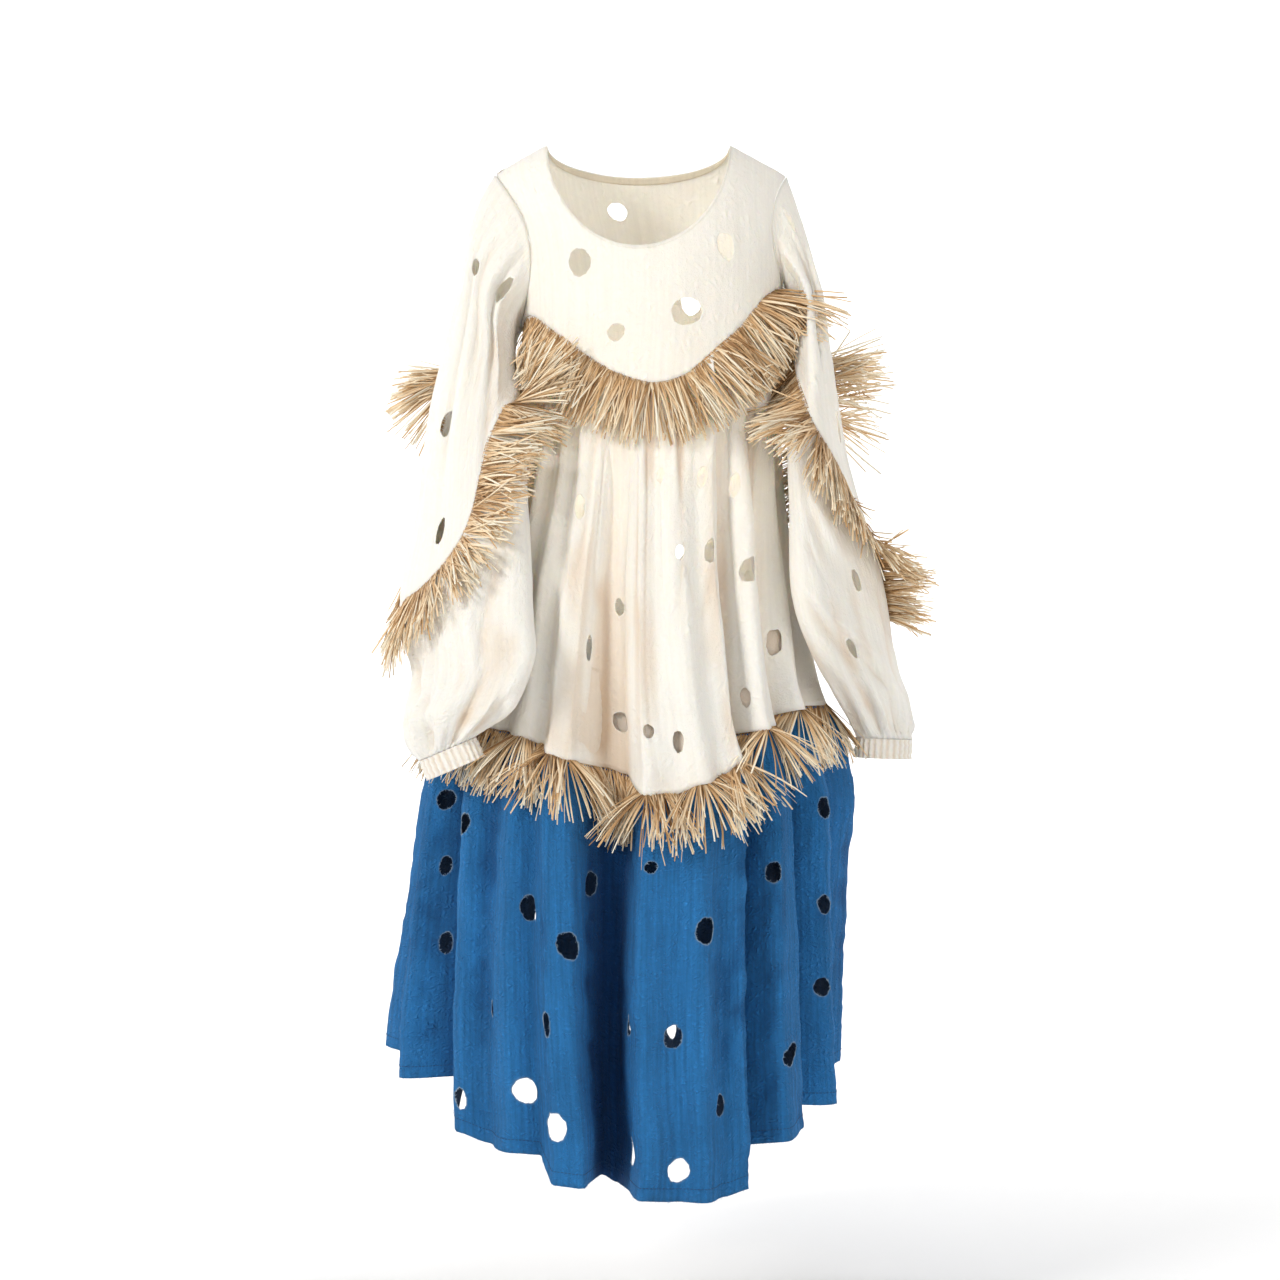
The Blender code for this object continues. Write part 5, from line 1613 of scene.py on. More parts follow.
def box_outline(columns: Array, rows: Array) -> Array:
    """The outline of a cut between its first and last column and row, counted from the lower left.

    Args:
        columns: The columns' places.
        rows: The rows' places.

    Returns:
        Pairs of coordinates.
    """
    bottom = [(column, rows[-1]) for column in columns]
    right = [(columns[-1], row) for row in rows[-2:0:-1]]
    top = [(column, rows[0]) for column in columns[::-1]]
    left = [(columns[0], row) for row in rows[1:-1]]
    return np.array(bottom + right + top + left)


def inner_grid(columns: Array, rows: Array) -> Array:
    """The places inside a cut, every second row set half a step aside.

    Args:
        columns: The columns' places.
        rows: The rows' places.

    Returns:
        Pairs of coordinates.
    """
    places = []
    for number, row in enumerate(rows[1:-1]):
        line = columns[1:-1] if number % 2 else (columns[1:-2] + columns[2:-1]) / 2
        places.append(np.stack([line, full(line, row)], axis=1))
    return np.concatenate(places)


def strands_mesh(name: str, paths: Array, wide: Array, width: Array, thick: float,
                 values: dict[str, Array]) -> MeshParts:
    """Join many flat strands into one mesh.

    Args:
        name: The piece's name.
        paths: Points along each strand, strands by points by 3.
        wide: The direction across each strand at each point.
        width: Each strand's width at each point.
        thick: The strands' thickness.
        values: A value for each strand and point, by attribute name.

    Returns:
        The mesh, with a UV map that runs along each strand.
    """
    strands, rings, _ = paths.shape
    along = unit(np.gradient(paths, axis=1))
    wide = unit(wide - along * (wide * along).sum(axis=2, keepdims=True))
    up = np.cross(along, wide) * thick / 2
    side = wide * width[..., None] / 2
    corners = np.stack([paths - side - up, paths + side - up, paths + side + up, paths - side + up], axis=2)
    points = corners.reshape(-1, 3)
    number = np.arange(strands * rings * 4).reshape(strands, rings, 4)
    here, ahead = number[:, :-1], number[:, 1:]
    quads = np.stack([here, np.roll(here, -1, axis=2), np.roll(ahead, -1, axis=2), ahead], axis=3)
    quads = np.concatenate([quads.reshape(-1, 4), number[:, 0, ::-1], number[:, -1]])
    length = np.linspace(0, 1, rings)[None, :, None].repeat(strands, 0).repeat(4, 2)
    number = np.arange(strands)[:, None, None].repeat(rings, 1).repeat(4, 2) * 0.37
    number = number + np.array([0, 1, 1, 0]) * 0.25
    point_uv = np.stack([number.ravel(), length.ravel()], axis=1)
    spread = {key: np.repeat(value.reshape(strands, rings), 4).ravel() for key, value in values.items()}
    return MeshParts(name, points, NO_TRIANGLES, quads, point_uv[quads].reshape(-1, 2), spread)


@dataclass
class Fringe:
    """A raffia fringe sewn into a seam."""

    name: str
    surface: Surface
    path: Callable[[Array], tuple[Array, Array]]
    low: float
    high: float
    strands: int
    seed: int
    hand: int = 1
    length: tuple[float, float] = (0.070, 0.092)
    width: tuple[float, float] = (0.0015, 0.0030)
    thick: float = 0.00028
    droop: float = 0.35
    rise: Callable[[Array], Array] | None = None
    pull: Callable[[Array], Array] | None = None
    along_cloth: bool = False
    spread: Callable[[Array], Array] | None = None
    pull_spread: tuple[float, float] = (0.75, 1.25)
    place_jitter: float = 0.8
    clump: float = 0.011
    clump_jitter: float = 0.35
    clump_pull: float = 0.30
    lean: float = 0.20
    usual_rise: float = 0.20
    short_share: float = 0.08
    short_length: float = 0.75
    stray_share: float = 0.12
    stray_fan: float = 0.38
    usual_fan: float = 0.15
    longer_when_pulled: float = 0.12
    bend: float = 0.10
    layers: float = 0.009
    cloth_gap: float = 0.0012
    rooted: tuple[float, float] = (0.0025, 0.0009)
    rings: int = 6
    widest: tuple[float, float] = (-0.345, 0.383)

    def root(self, places: Array) -> Array:
        """The seam at some places."""
        return self.surface(*self.path(places))

    def ways(self, places: Array) -> tuple[Array, Array, Array]:
        """Out of the cloth, along the seam, and from the seam down the cloth.

        Args:
            places: Places of the seam.

        Returns:
            Three unit vectors for each place.
        """
        across, down = self.path(places)
        drop = self.surface(across, down + NUDGE) - self.surface(across, down - NUDGE)
        out = outward(self.surface, across, down, self.hand)
        ahead = unit(self.root(places + NUDGE) - self.root(places - NUDGE))
        square = np.cross(out, ahead)
        return out, ahead, unit(drop if self.along_cloth else
                                square * np.sign((square * drop).sum(axis=1))[:, None])

    def build(self, under: BVHTree) -> bpy.types.Object:
        """Make the fringe.

        Args:
            under: The cloth that the strands stay out of.

        Returns:
            The piece.
        """
        spin = np.random.default_rng(self.seed)
        count = self.strands
        places = even_places(self.root, self.low, self.high, count - 1)
        jitter = spin.uniform(-self.place_jitter, self.place_jitter, count)
        places = np.clip(places + np.gradient(places) * jitter, self.low, self.high)
        here = self.root(places)
        out, ahead, fall = self.ways(places)
        metres = run_length(here)
        jitter = spin.uniform(-self.clump_jitter, self.clump_jitter, count)
        clump = np.floor(metres / self.clump + jitter).astype(int)
        clumps = clump.max() + 3
        lean = spin.normal(0, self.lean, clumps)[clump]
        rise = full(places, self.usual_rise) if self.rise is None else self.rise(places)
        rise = rise * spin.uniform(0.1, 1.9, count) + spin.uniform(0.0, 0.10, count)
        length = spin.uniform(*self.length, count)
        length = length * np.where(spin.random(count) < self.short_share, self.short_length, 1.0)
        stray = np.where(spin.random(count) < self.stray_share, self.stray_fan, self.usual_fan)
        fan = lean + spin.normal(0, 1, count) * stray
        if self.spread is not None:
            fan = fan + self.spread(places)
        start = fall + out * rise[:, None] + ahead * fan[:, None]
        if self.pull is not None:
            pull = self.pull(places)
            start = start + pull * spin.uniform(*self.pull_spread, count)[:, None]
            length = length * (1 + self.longer_when_pulled * np.linalg.norm(pull, axis=1))
        start = unit(start)
        bend = spin.normal(0, self.bend, (count, 3))
        layer = spin.uniform(0.0, self.layers, count)
        share = np.linspace(0, 1, self.rings)
        paths = np.zeros((count, self.rings, 3))
        paths[:, 0] = here - fall * self.rooted[0] - out * self.rooted[1]
        for i in range(1, self.rings):
            way = unit(start * (1 - self.droop * share[i]) + DOWN * self.droop * share[i] + bend * share[i])
            paths[:, i] = paths[:, i - 1] + way * (length / (self.rings - 1))[:, None]
        gather = (((clump + 0.5) * self.clump - metres) * self.clump_pull)[:, None] * ahead
        paths = paths + gather[:, None] * (share ** 1.5)[None, :, None]
        paths = self.keep_in(self.clear(paths, under, layer))
        twist = spin.uniform(-1.0, 1.0, count)[:, None] + spin.normal(0, 0.5, count)[:, None] * share
        along = unit(np.gradient(paths, axis=1))
        side = unit(np.cross(along, out[:, None]))
        wide = side * np.cos(twist)[..., None] + np.cross(side, along) * np.sin(twist)[..., None]
        width = spin.uniform(*self.width, count)[:, None] * (1 - 0.25 * share ** 2)
        tone = spin.beta(2.4, 1.9, count)[:, None] + spin.normal(0, 0.05, clumps)[clump][:, None]
        # painted shade: darker towards the root, and lighter towards the tip
        tone = np.clip(tone - 0.35 * (1 - share) ** 2 + 0.12 * share, 0.02, 0.98)
        parts = strands_mesh(f"raffia_{self.name}", paths, wide, width, self.thick, {"tone": tone})
        return dress_piece(parts, Cloth.RAFFIA, "raffia", f"fringe_{self.name}")

    def keep_in(self, paths: Array) -> Array:
        """Shorten the strands that would reach further to the side than the dress may be wide.

        Args:
            paths: Each strand's points.

        Returns:
            Each strand's points, some of them drawn in.
        """
        root, tip = paths[:, 0, 0], paths[..., 0]
        share = np.ones(len(paths))
        uneven = 1 - 0.07 * np.abs(np.sin(np.arange(len(paths)) * 12.9898))
        for limit, beyond in ((self.widest[0] * uneven, tip.min(axis=1)),
                              (self.widest[1] * uneven, tip.max(axis=1))):
            out = (beyond - limit) * np.sign(limit) > 0
            share[out] = (limit[out] - root[out]) / (beyond[out] - root[out])
        return paths[:, :1] + (paths - paths[:, :1]) * share[:, None, None]

    def clear(self, paths: Array, under: BVHTree, layer: Array) -> Array:
        """Lift the strands' points out of the cloth below them.

        Args:
            paths: Each strand's points.
            under: The cloth below.
            layer: How far each tip may lie above the cloth.

        Returns:
            Each strand's points, some of them lifted.
        """
        search, deepest = 0.03, -0.022
        lifted = paths.copy()
        for i in range(len(paths)):
            for j in range(1, self.rings):
                place = Vector(lifted[i, j])
                near, normal, _, _ = under.find_nearest(place, search)
                if near is None:
                    continue
                gap = (place - near).dot(normal)
                least = self.cloth_gap + layer[i] * j / (self.rings - 1)
                if deepest < gap < least:
                    lifted[i, j:] += np.array(normal) * (least - gap)
        return lifted


@dataclass
class RawEdge:
    """Loose threads along torn or cut edges."""

    name: str
    finish: Cloth
    seed: int
    longest: float = 0.0030
    thick: float = 0.00026
    starts: list[Array] = field(default_factory=list)
    ways: list[Array] = field(default_factory=list)

    def add(self, starts: Array, ways: Array, sunk: Array, shortness: float,
            spin: np.random.Generator) -> None:
        """Keep threads that start a little inside the cloth, with lengths drawn from spin."""
        self.starts.append(starts - sunk)
        self.ways.append(ways * (self.longest * spin.uniform(0.2, 1.0, len(ways)) ** shortness)[:, None])

    def around_hole(self, edge: Array, spacing: float) -> None:
        """Add threads that point into a hole from its edge.

        Args:
            edge: The points of the hole's edge.
            spacing: Metres from thread to thread.
        """
        spin = np.random.default_rng(self.seed + len(self.starts))
        closed = np.concatenate([edge, edge[:1]])
        length = run_length(closed)
        count = max(6, int(length[-1] / spacing))
        at = spin.uniform(0, length[-1], count)
        starts = read_path(at, length, closed)
        inward = unit(edge.mean(axis=0) - starts)
        along = unit(read_path(at + NUDGE, length, closed) - starts)
        ways = unit(inward + along * spin.normal(0, 0.8, count)[:, None] + spin.normal(0, 0.15, (count, 3)))
        self.add(starts, ways, inward * 0.0006, 1.6, spin)

    def along_path(self, points: Array, way: Array, spacing: float) -> None:
        """Add threads that hang from a path of points, pointing along way.

        Args:
            points: The points.
            way: The direction of the threads at each point.
            spacing: Metres from thread to thread.
        """
        spin = np.random.default_rng(self.seed + len(self.starts))
        length = run_length(points)
        count = int(length[-1] / spacing)
        at = spin.uniform(0, length[-1], count)
        ways = unit(read_path(at, length, way) + spin.normal(0, 0.35, (count, 3)))
        self.add(read_path(at, length, points), ways, ways * 0.0004, 1.5, spin)

    def build(self, slot: str) -> None:
        """Make the threads as one piece.

        Args:
            slot: The material slot.
        """
        starts, ways = np.concatenate(self.starts), np.concatenate(self.ways)
        spin = np.random.default_rng(self.seed)
        share = np.linspace(0, 1, 3)
        paths = starts[:, None] + ways[:, None] * share[None, :, None]
        sag = spin.normal(0, 0.25, (len(starts), 3)) * np.linalg.norm(ways, axis=1)[:, None]
        paths = paths + sag[:, None] * (share ** 2)[None, :, None]
        wide = np.broadcast_to(unit(spin.normal(0, 1, (len(starts), 1, 3))), paths.shape)
        width = np.full(paths.shape[:2], self.thick) * (1 - 0.4 * share)
        dress_piece(strands_mesh(self.name, paths, wide, width, self.thick, {}), self.finish, slot)


@dataclass
class Stitching:
    """A row of small machine stitches laid on the cloth."""

    name: str
    finish: Cloth
    stitch: float = 0.0026
    gap: float = 0.0012
    width: float = 0.0006
    thick: float = 0.0004
    lift: tuple[float, ...] = (0.0002, 0.0005, 0.0002)
    paths: list[tuple[Array, Array]] = field(default_factory=list)

    def run(self, points: Array, out: Array) -> None:
        """Add a row along points, lying on the outer face.

        Args:
            points: The points.
            out: The direction out of the cloth at each point.
        """
        length = run_length(points)
        starts = np.arange(0, length[-1] - self.stitch, self.stitch + self.gap)
        at = starts[:, None] + np.linspace(0, self.stitch, len(self.lift))
        place, away = read_path(at, length, points), unit(read_path(at, length, out))
        self.paths.append((place + away * np.array(self.lift)[None, :, None],
                           np.cross(away, np.gradient(place, axis=1))))

    def build(self, slot: str) -> None:
        """Make all the rows as one piece.

        Args:
            slot: The material slot.
        """
        paths, wide = (np.concatenate(group) for group in zip(*self.paths))
        width = np.full(paths.shape[:2], self.width)
        dress_piece(strands_mesh(self.name, paths, wide, width, self.thick, {}), self.finish, slot)


@dataclass
class Yoke:
    """The smooth cream yoke with its scoop neck, and the tape inside the back neck."""

    body: Body
    cut_width: float = 0.385
    shoulder_gap: float = 0.0005
    seam_gap: float = 0.0007
    step: float = 0.0052
    turn_step: float = 1.7
    metres_each_degree: float = 0.003
    facing_height: float = 0.011
    facing_inside: float = 0.0019
    facing_half: float = 0.0004
    cuts: list[ClothCut] = field(default_factory=list)

    def angle_at(self, x: Array, z: Array, front: bool) -> Array:
        """The angle at which x is reached at height z.

        Args:
            x: Places from left to right.
            z: Heights.
            front: Whether it is the front.

        Returns:
            The angles in degrees.
        """
        mid_x, half_x, _, _ = self.body.form(z)
        angle = np.degrees(np.arcsin(np.clip((x - mid_x) / half_x, -1, 1)))
        return angle if front else 180 - angle

    def neck_edge(self, front: bool, count: int) -> Array:
        """The neck edge from the left shoulder to the right one.

        Args:
            front: Whether it is the front.
            count: How many points.

        Returns:
            Pairs of angle and fall.
        """
        drop = self.body.front_neck_drop if front else self.body.back_neck_drop
        turns = np.linspace(-math.pi / 2, math.pi / 2, count)
        x = self.body.neck_half_width * np.sin(turns)
        z = np.minimum(-drop * np.cos(turns), -1e-4)
        angle = self.angle_at(x, z, front)
        return np.stack([angle, self.body.yoke_fall(angle, z)], axis=1)

    def shoulder_edge(self, angles: Array) -> Array:
        """The shoulder seam."""
        return np.stack([angles, self.shoulder_gap / 2 / np.abs(np.cos(np.radians(angles)))], axis=1)

    def armhole_edge(self, side: int, front: bool, turns: Array) -> Array:
        """One edge of an armhole.

        Args:
            side: -1 for the left and 1 for the right.
            front: Whether it is the front.
            turns: Degrees from the shoulder round the armhole.

        Returns:
            Pairs of angle and fall.
        """
        angle, z = self.body.armhole(side, turns if front else -turns)
        angle = np.where((angle < 0) & (not front), angle + 360, angle)
        return np.stack([angle, self.body.yoke_fall(angle, z)], axis=1)

    def outline(self, front: bool) -> Array:
        """The cut of the front or the back.

        Args:
            front: Whether it is the front.

        Returns:
            Pairs of angle and fall.
        """
        shoulder, turns = np.linspace(83, 41, 13), np.linspace(14, 176, 60)
        places = np.linspace(*(FRONT_FOLDS if front else BACK_FOLDS), 110)
        angle = self.body.fold_angle(places, full(places, TOP_LEVEL))
        fall = self.body.yoke_fall(angle, self.body.yoke_seam_z(angle) + self.seam_gap)
        seam = np.stack([angle, fall], axis=1)
        neck = self.neck_edge(front, 84)[1:-1]
        side = -1 if front else 1
        near, far = (-shoulder, shoulder) if front else (180 - shoulder, 180 + shoulder)
        return np.concatenate([
            self.armhole_edge(side, front, turns)[::-1], self.shoulder_edge(near),
            neck if front else neck[::-1], self.shoulder_edge(far[::-1]),
            self.armhole_edge(-side, front, turns), seam[::-1],
        ])[::-1]

    def relief(self, u: Array, v: Array) -> Array:
        """Soft unevenness, with fine lines that run down from the neck and shoulders.

        Args:
            u: Metres across the flat cloth.
            v: Metres down the flat cloth.

        Returns:
            How far each place is raised.
        """
        broad = lattice_noise(u / 0.07, v / 0.11, 3) * 0.0011
        lines = lattice_noise(u / 0.016, v / 0.09, 4) * 0.0005
        return broad + lines + lattice_noise(u / 0.012, v / 0.014, 5) * 0.00016

    def build(self) -> None:
        """Make the front, the back and the tape."""
        for front, name, low, high in ((True, "yoke_front", -84, 84), (False, "yoke_back", 96, 264)):
            grid = [(angle + (row % 2) * self.turn_step / 2, fall)
                    for row, fall in enumerate(np.arange(0.004, 0.42, self.step))
                    for angle in np.arange(low - 6, high + 6, self.turn_step)]
            cut = ClothCut(
                name + "_cloth", self.body.yoke, self.outline(front), (self.metres_each_degree, 1.0),
                np.array(grid), hole_groups=(HoleGroup(name, (low, high), (0.0, 0.40), front),),
                relief=self.relief,
            )
            piece = cut.build(Cloth.CREAM, "cream_cotton", name)
            self.cuts.append(cut)
        self.facing()

    def facing(self) -> None:
        """The narrow tape inside the back neck."""
        edge = self.neck_edge(False, 70)[1:-1]
        rows = np.linspace(0.0006, self.facing_height, 5)
        angle = np.tile(edge[:, 0], len(rows))
        fall = np.concatenate([edge[:, 1] + row for row in rows])
        out = outward(self.body.yoke, angle, fall, 1)
        middle = self.body.yoke(angle, fall) - out * self.facing_inside
        count = len(edge)
        number = np.arange(len(rows) * count).reshape(len(rows), count)
        quads = np.stack([number[:-1, :-1], number[:-1, 1:], number[1:, 1:], number[1:, :-1]], axis=-1)
        layer = Layer("neck_tape", middle, face_out(middle, quads, out), out,
                      np.stack([angle * self.metres_each_degree, fall], axis=1))
        piece = dress_piece(layer.parts(self.facing_half, full(middle, 0.0), full(middle, 0.0)), Cloth.TAPE,
                            "beige_tape", "neck_facing")
        float(run_length(middle[:count])[-1])


@dataclass
class Tier:
    """One of the two gathered tiers, a closed tube of cloth round the body."""

    body: Body
    name: str
    surface: Surface
    finish: Cloth
    slot: str
    rows: int
    columns: int
    scale: tuple[float, float]
    relief: Surface
    # the fold table columns, threshold and reach of the painted fold shade
    fold_shade_columns: tuple[Fold, Fold]
    fold_shade_from: float
    flat: tuple[float, float]
    ends: tuple[float, float]
    fold_shade_reach: float = 0.055

    def depth(self, across: Array, down: Array) -> Array:
        """How deep in a fold the cloth lies, from 0 to 1, which sets the painted fold shade.

        Args:
            across: First coordinates on the surface.
            down: Second coordinates on the surface.

        Returns:
            The depths.
        """
        top, bottom = (self.body.fold_value(across, column) for column in self.fold_shade_columns)
        out = top * (1 - down) + bottom * down
        return soft_step((self.fold_shade_from - out) / self.fold_shade_reach)

    def build(self) -> ClothCut:
        """Make the tier.

        Returns:
            The cut.
        """
        columns = ring_places(self.surface, 0.8, 0.0, float(len(self.body.folds)), self.columns)
        rows = np.linspace(*self.ends, self.rows + 1)
        names = [f"{self.name}_{side}" for side in ("front", "back")]
        groups = tuple(HoleGroup(name, folds, self.ends, front) for name, folds, front in
                       zip(names, (FRONT_FOLDS, BACK_FOLDS), (True, False)))
        cut = ClothCut(
            f"{self.name}_cloth", self.surface, box_outline(columns, rows), self.scale,
            inner_grid(columns, rows), columns=columns, hole_groups=groups,
            relief=self.relief, depth=self.depth,
        )
        cut.build(self.finish, self.slot, *names)
        return cut


@dataclass
class SleeveCloth:
    """One sleeve's cloth: the upper sleeve, the full lower sleeve and the ribbed cuff."""

    form: SleeveForm
    name: str
    cut_width: float = 0.46
    seam_gap: float = 0.010
    degrees_per_section: float = 77
    cuff_height: float = 0.026
    cuff_ribs: int = 26
    points_each_rib: int = 10
    rib_depth: float = 0.0011
    cuts: list[ClothCut] = field(default_factory=list)

    @property
    def hand(self) -> int:
        """Which way round the sleeve's places run."""
        return -self.form.side

    def upper_section(self, turn: Array, share: Array) -> Array:
        """The section that each place of the upper sleeve is at."""
        return self.form.seam_section(turn) * share

    def lower_section(self, turn: Array, share: Array) -> Array:
        """The section that each place of the lower sleeve is at."""
        start = self.form.seam_section(turn)
        return start + (len(self.form.rings) - start) * share

    def upper(self, turn: Array, share: Array) -> Array:
        """The upper sleeve."""
        return self.form.point(turn, self.upper_section(turn, share))

    def lower(self, turn: Array, share: Array) -> Array:
        """The full lower sleeve.

        Args:
            turn: Degrees from the outer edge over the front.
            share: How far down, from 0 to 1.

        Returns:
            The points.
        """
        start = self.form.seam_section(turn)
        steep = (self.form.seam_section(turn + 1) - self.form.seam_section(turn - 1)) / 2
        gap = self.seam_gap * np.sqrt(1 + (steep * self.degrees_per_section) ** 2)
        return self.form.point(turn, start + gap + (len(self.form.rings) - start - gap) * share)

    def relief(self, length: float) -> Surface:
        """Soft lines that run down a sleeve part of some length, with small crumples.

        Args:
            length: The part's length in metres.

        Returns:
            A relief over flat places.
        """
        def read(u: Array, v: Array) -> Array:
            """The relief at flat places.

            Args:
                u: Metres across the flat cloth.
                v: Metres down the flat cloth.

            Returns:
                How far each place is raised.
            """
            lines = lattice_noise(u / 0.024, v / 0.20, 11 + self.form.side) * 0.0034
            crumple = lattice_noise(u / 0.034, v / 0.05, 12) * 0.0022
            fine = lattice_noise(u / 0.012, v / 0.014, 13) * 0.0004
            return (lines + crumple + fine) * soft_step(v / 0.02) * soft_step((length - v) / 0.02)
        return read

    def depth(self, section: Surface) -> Surface:
        """How deep in a crease the cloth lies, which sets the painted crease shade.

        Args:
            section: Gives the section that each place is at.

        Returns:
            The depth over places.
        """
        def read(across: Array, down: Array) -> Array:
            """The depth at places, which sets the painted crease shade."""
            return soft_step(-self.form.relief(across, section(across, down)) / 0.012) * 0.6
        return read

    def build(self) -> None:
        """Make the sleeve."""
        for part, surface, section, rows, columns, length, held in (
                ("sleeve", self.upper, self.upper_section, 62, 84, 0.34, "hung"),
                ("puff", self.lower, self.lower_section, 64, 96, 0.36, "gathered")):
            front = ring_places(surface, 0.6, 0.0, 180.0, columns // 2)
            around = np.concatenate([front, ring_places(surface, 0.6, 180.0, 360.0, columns // 2)[1:]])
            lines = np.linspace(0, 1, rows + 1)
            names = [f"{part}_{self.name}_{side}" for side in ("front", "back")]
            groups = tuple(HoleGroup(name, turns, (0.0, 1.0), looks_front) for name, turns, looks_front in
                           zip(names, ((0.5, 179.5), (180.5, 359.5)), (True, False)) if name in HOLES)
            cut = ClothCut(
                f"{part}_{self.name}_cloth", surface, box_outline(around, lines), (0.0013, length),
                inner_grid(around, lines), hand=self.hand, columns=around,
                hole_groups=groups, relief=self.relief(length), depth=self.depth(section),
            )
            piece = cut.build(Cloth.CREAM, "cream_cotton", *names)
            self.cuts.append(cut)
        self.cuff()

    def cuff(self) -> None:
        """The elastic cuff, gathered into narrow ribs."""
        count = self.cuff_ribs * self.points_each_rib
        turns = np.linspace(0, 360, count, endpoint=False)
        top = self.form.ring_points(self.form.rings[-1], turns)
        across = top[0] - top[count // 2]
        front = top[count // 4] - top[3 * count // 4]
        down = np.cross(across, front)
        down = down * -np.sign(down[2]) / np.linalg.norm(down)
        out = unit(top - top.mean(axis=0))
        reach = np.array([0.0005, 0.0018, 0.0045, 0.008, 0.0125, 0.017, 0.0212, 0.0242, self.cuff_height])
        squeeze = np.array([0.0, -0.0003, -0.0012, 0.0002, -0.0008, 0.0003, -0.0011, -0.0002, 0.0004])
        spin = np.random.default_rng(40 + self.form.side)
        phase = np.cumsum(spin.uniform(0.75, 1.25, count))
        phase = phase / phase[-1] * self.cuff_ribs * 2 * math.pi
        deep = np.interp(turns, np.linspace(0, 360, 20), spin.uniform(0.7, 1.3, 20))
        ribs = self.rib_depth * np.cos(phase) * deep
        middle = np.concatenate([
            top + down * length + out * (0.0006 + pinch + ribs * min(1.0, 0.35 + length / 0.006))[:, None]
            for length, pinch in zip(reach, squeeze)
        ])
        rows = len(reach)
        number = np.arange(rows * count).reshape(rows, count)
        after = np.roll(number, -1, axis=1)
        quads = np.stack([number[:-1], number[1:], after[1:], after[:-1]], axis=-1)
        triangles = face_out(middle, quads, np.tile(out, (rows, 1)))
        layer = Layer(f"cuff_{self.name}_cloth", middle, triangles, mesh_normals(middle, triangles),
                      np.stack([np.tile(turns, rows) * 0.0012, np.repeat(reach, count)], axis=1))
        # painted shade in the troughs between the ribs
        rib_trough_shade = np.tile(soft_step(0.5 - ribs / 0.003), rows) * 0.45
        piece = dress_piece(layer.parts(SHELL / 2, rib_trough_shade, full(middle, 1.0)), Cloth.CREAM, "cream_cotton",
                            f"cuff_{self.name}")


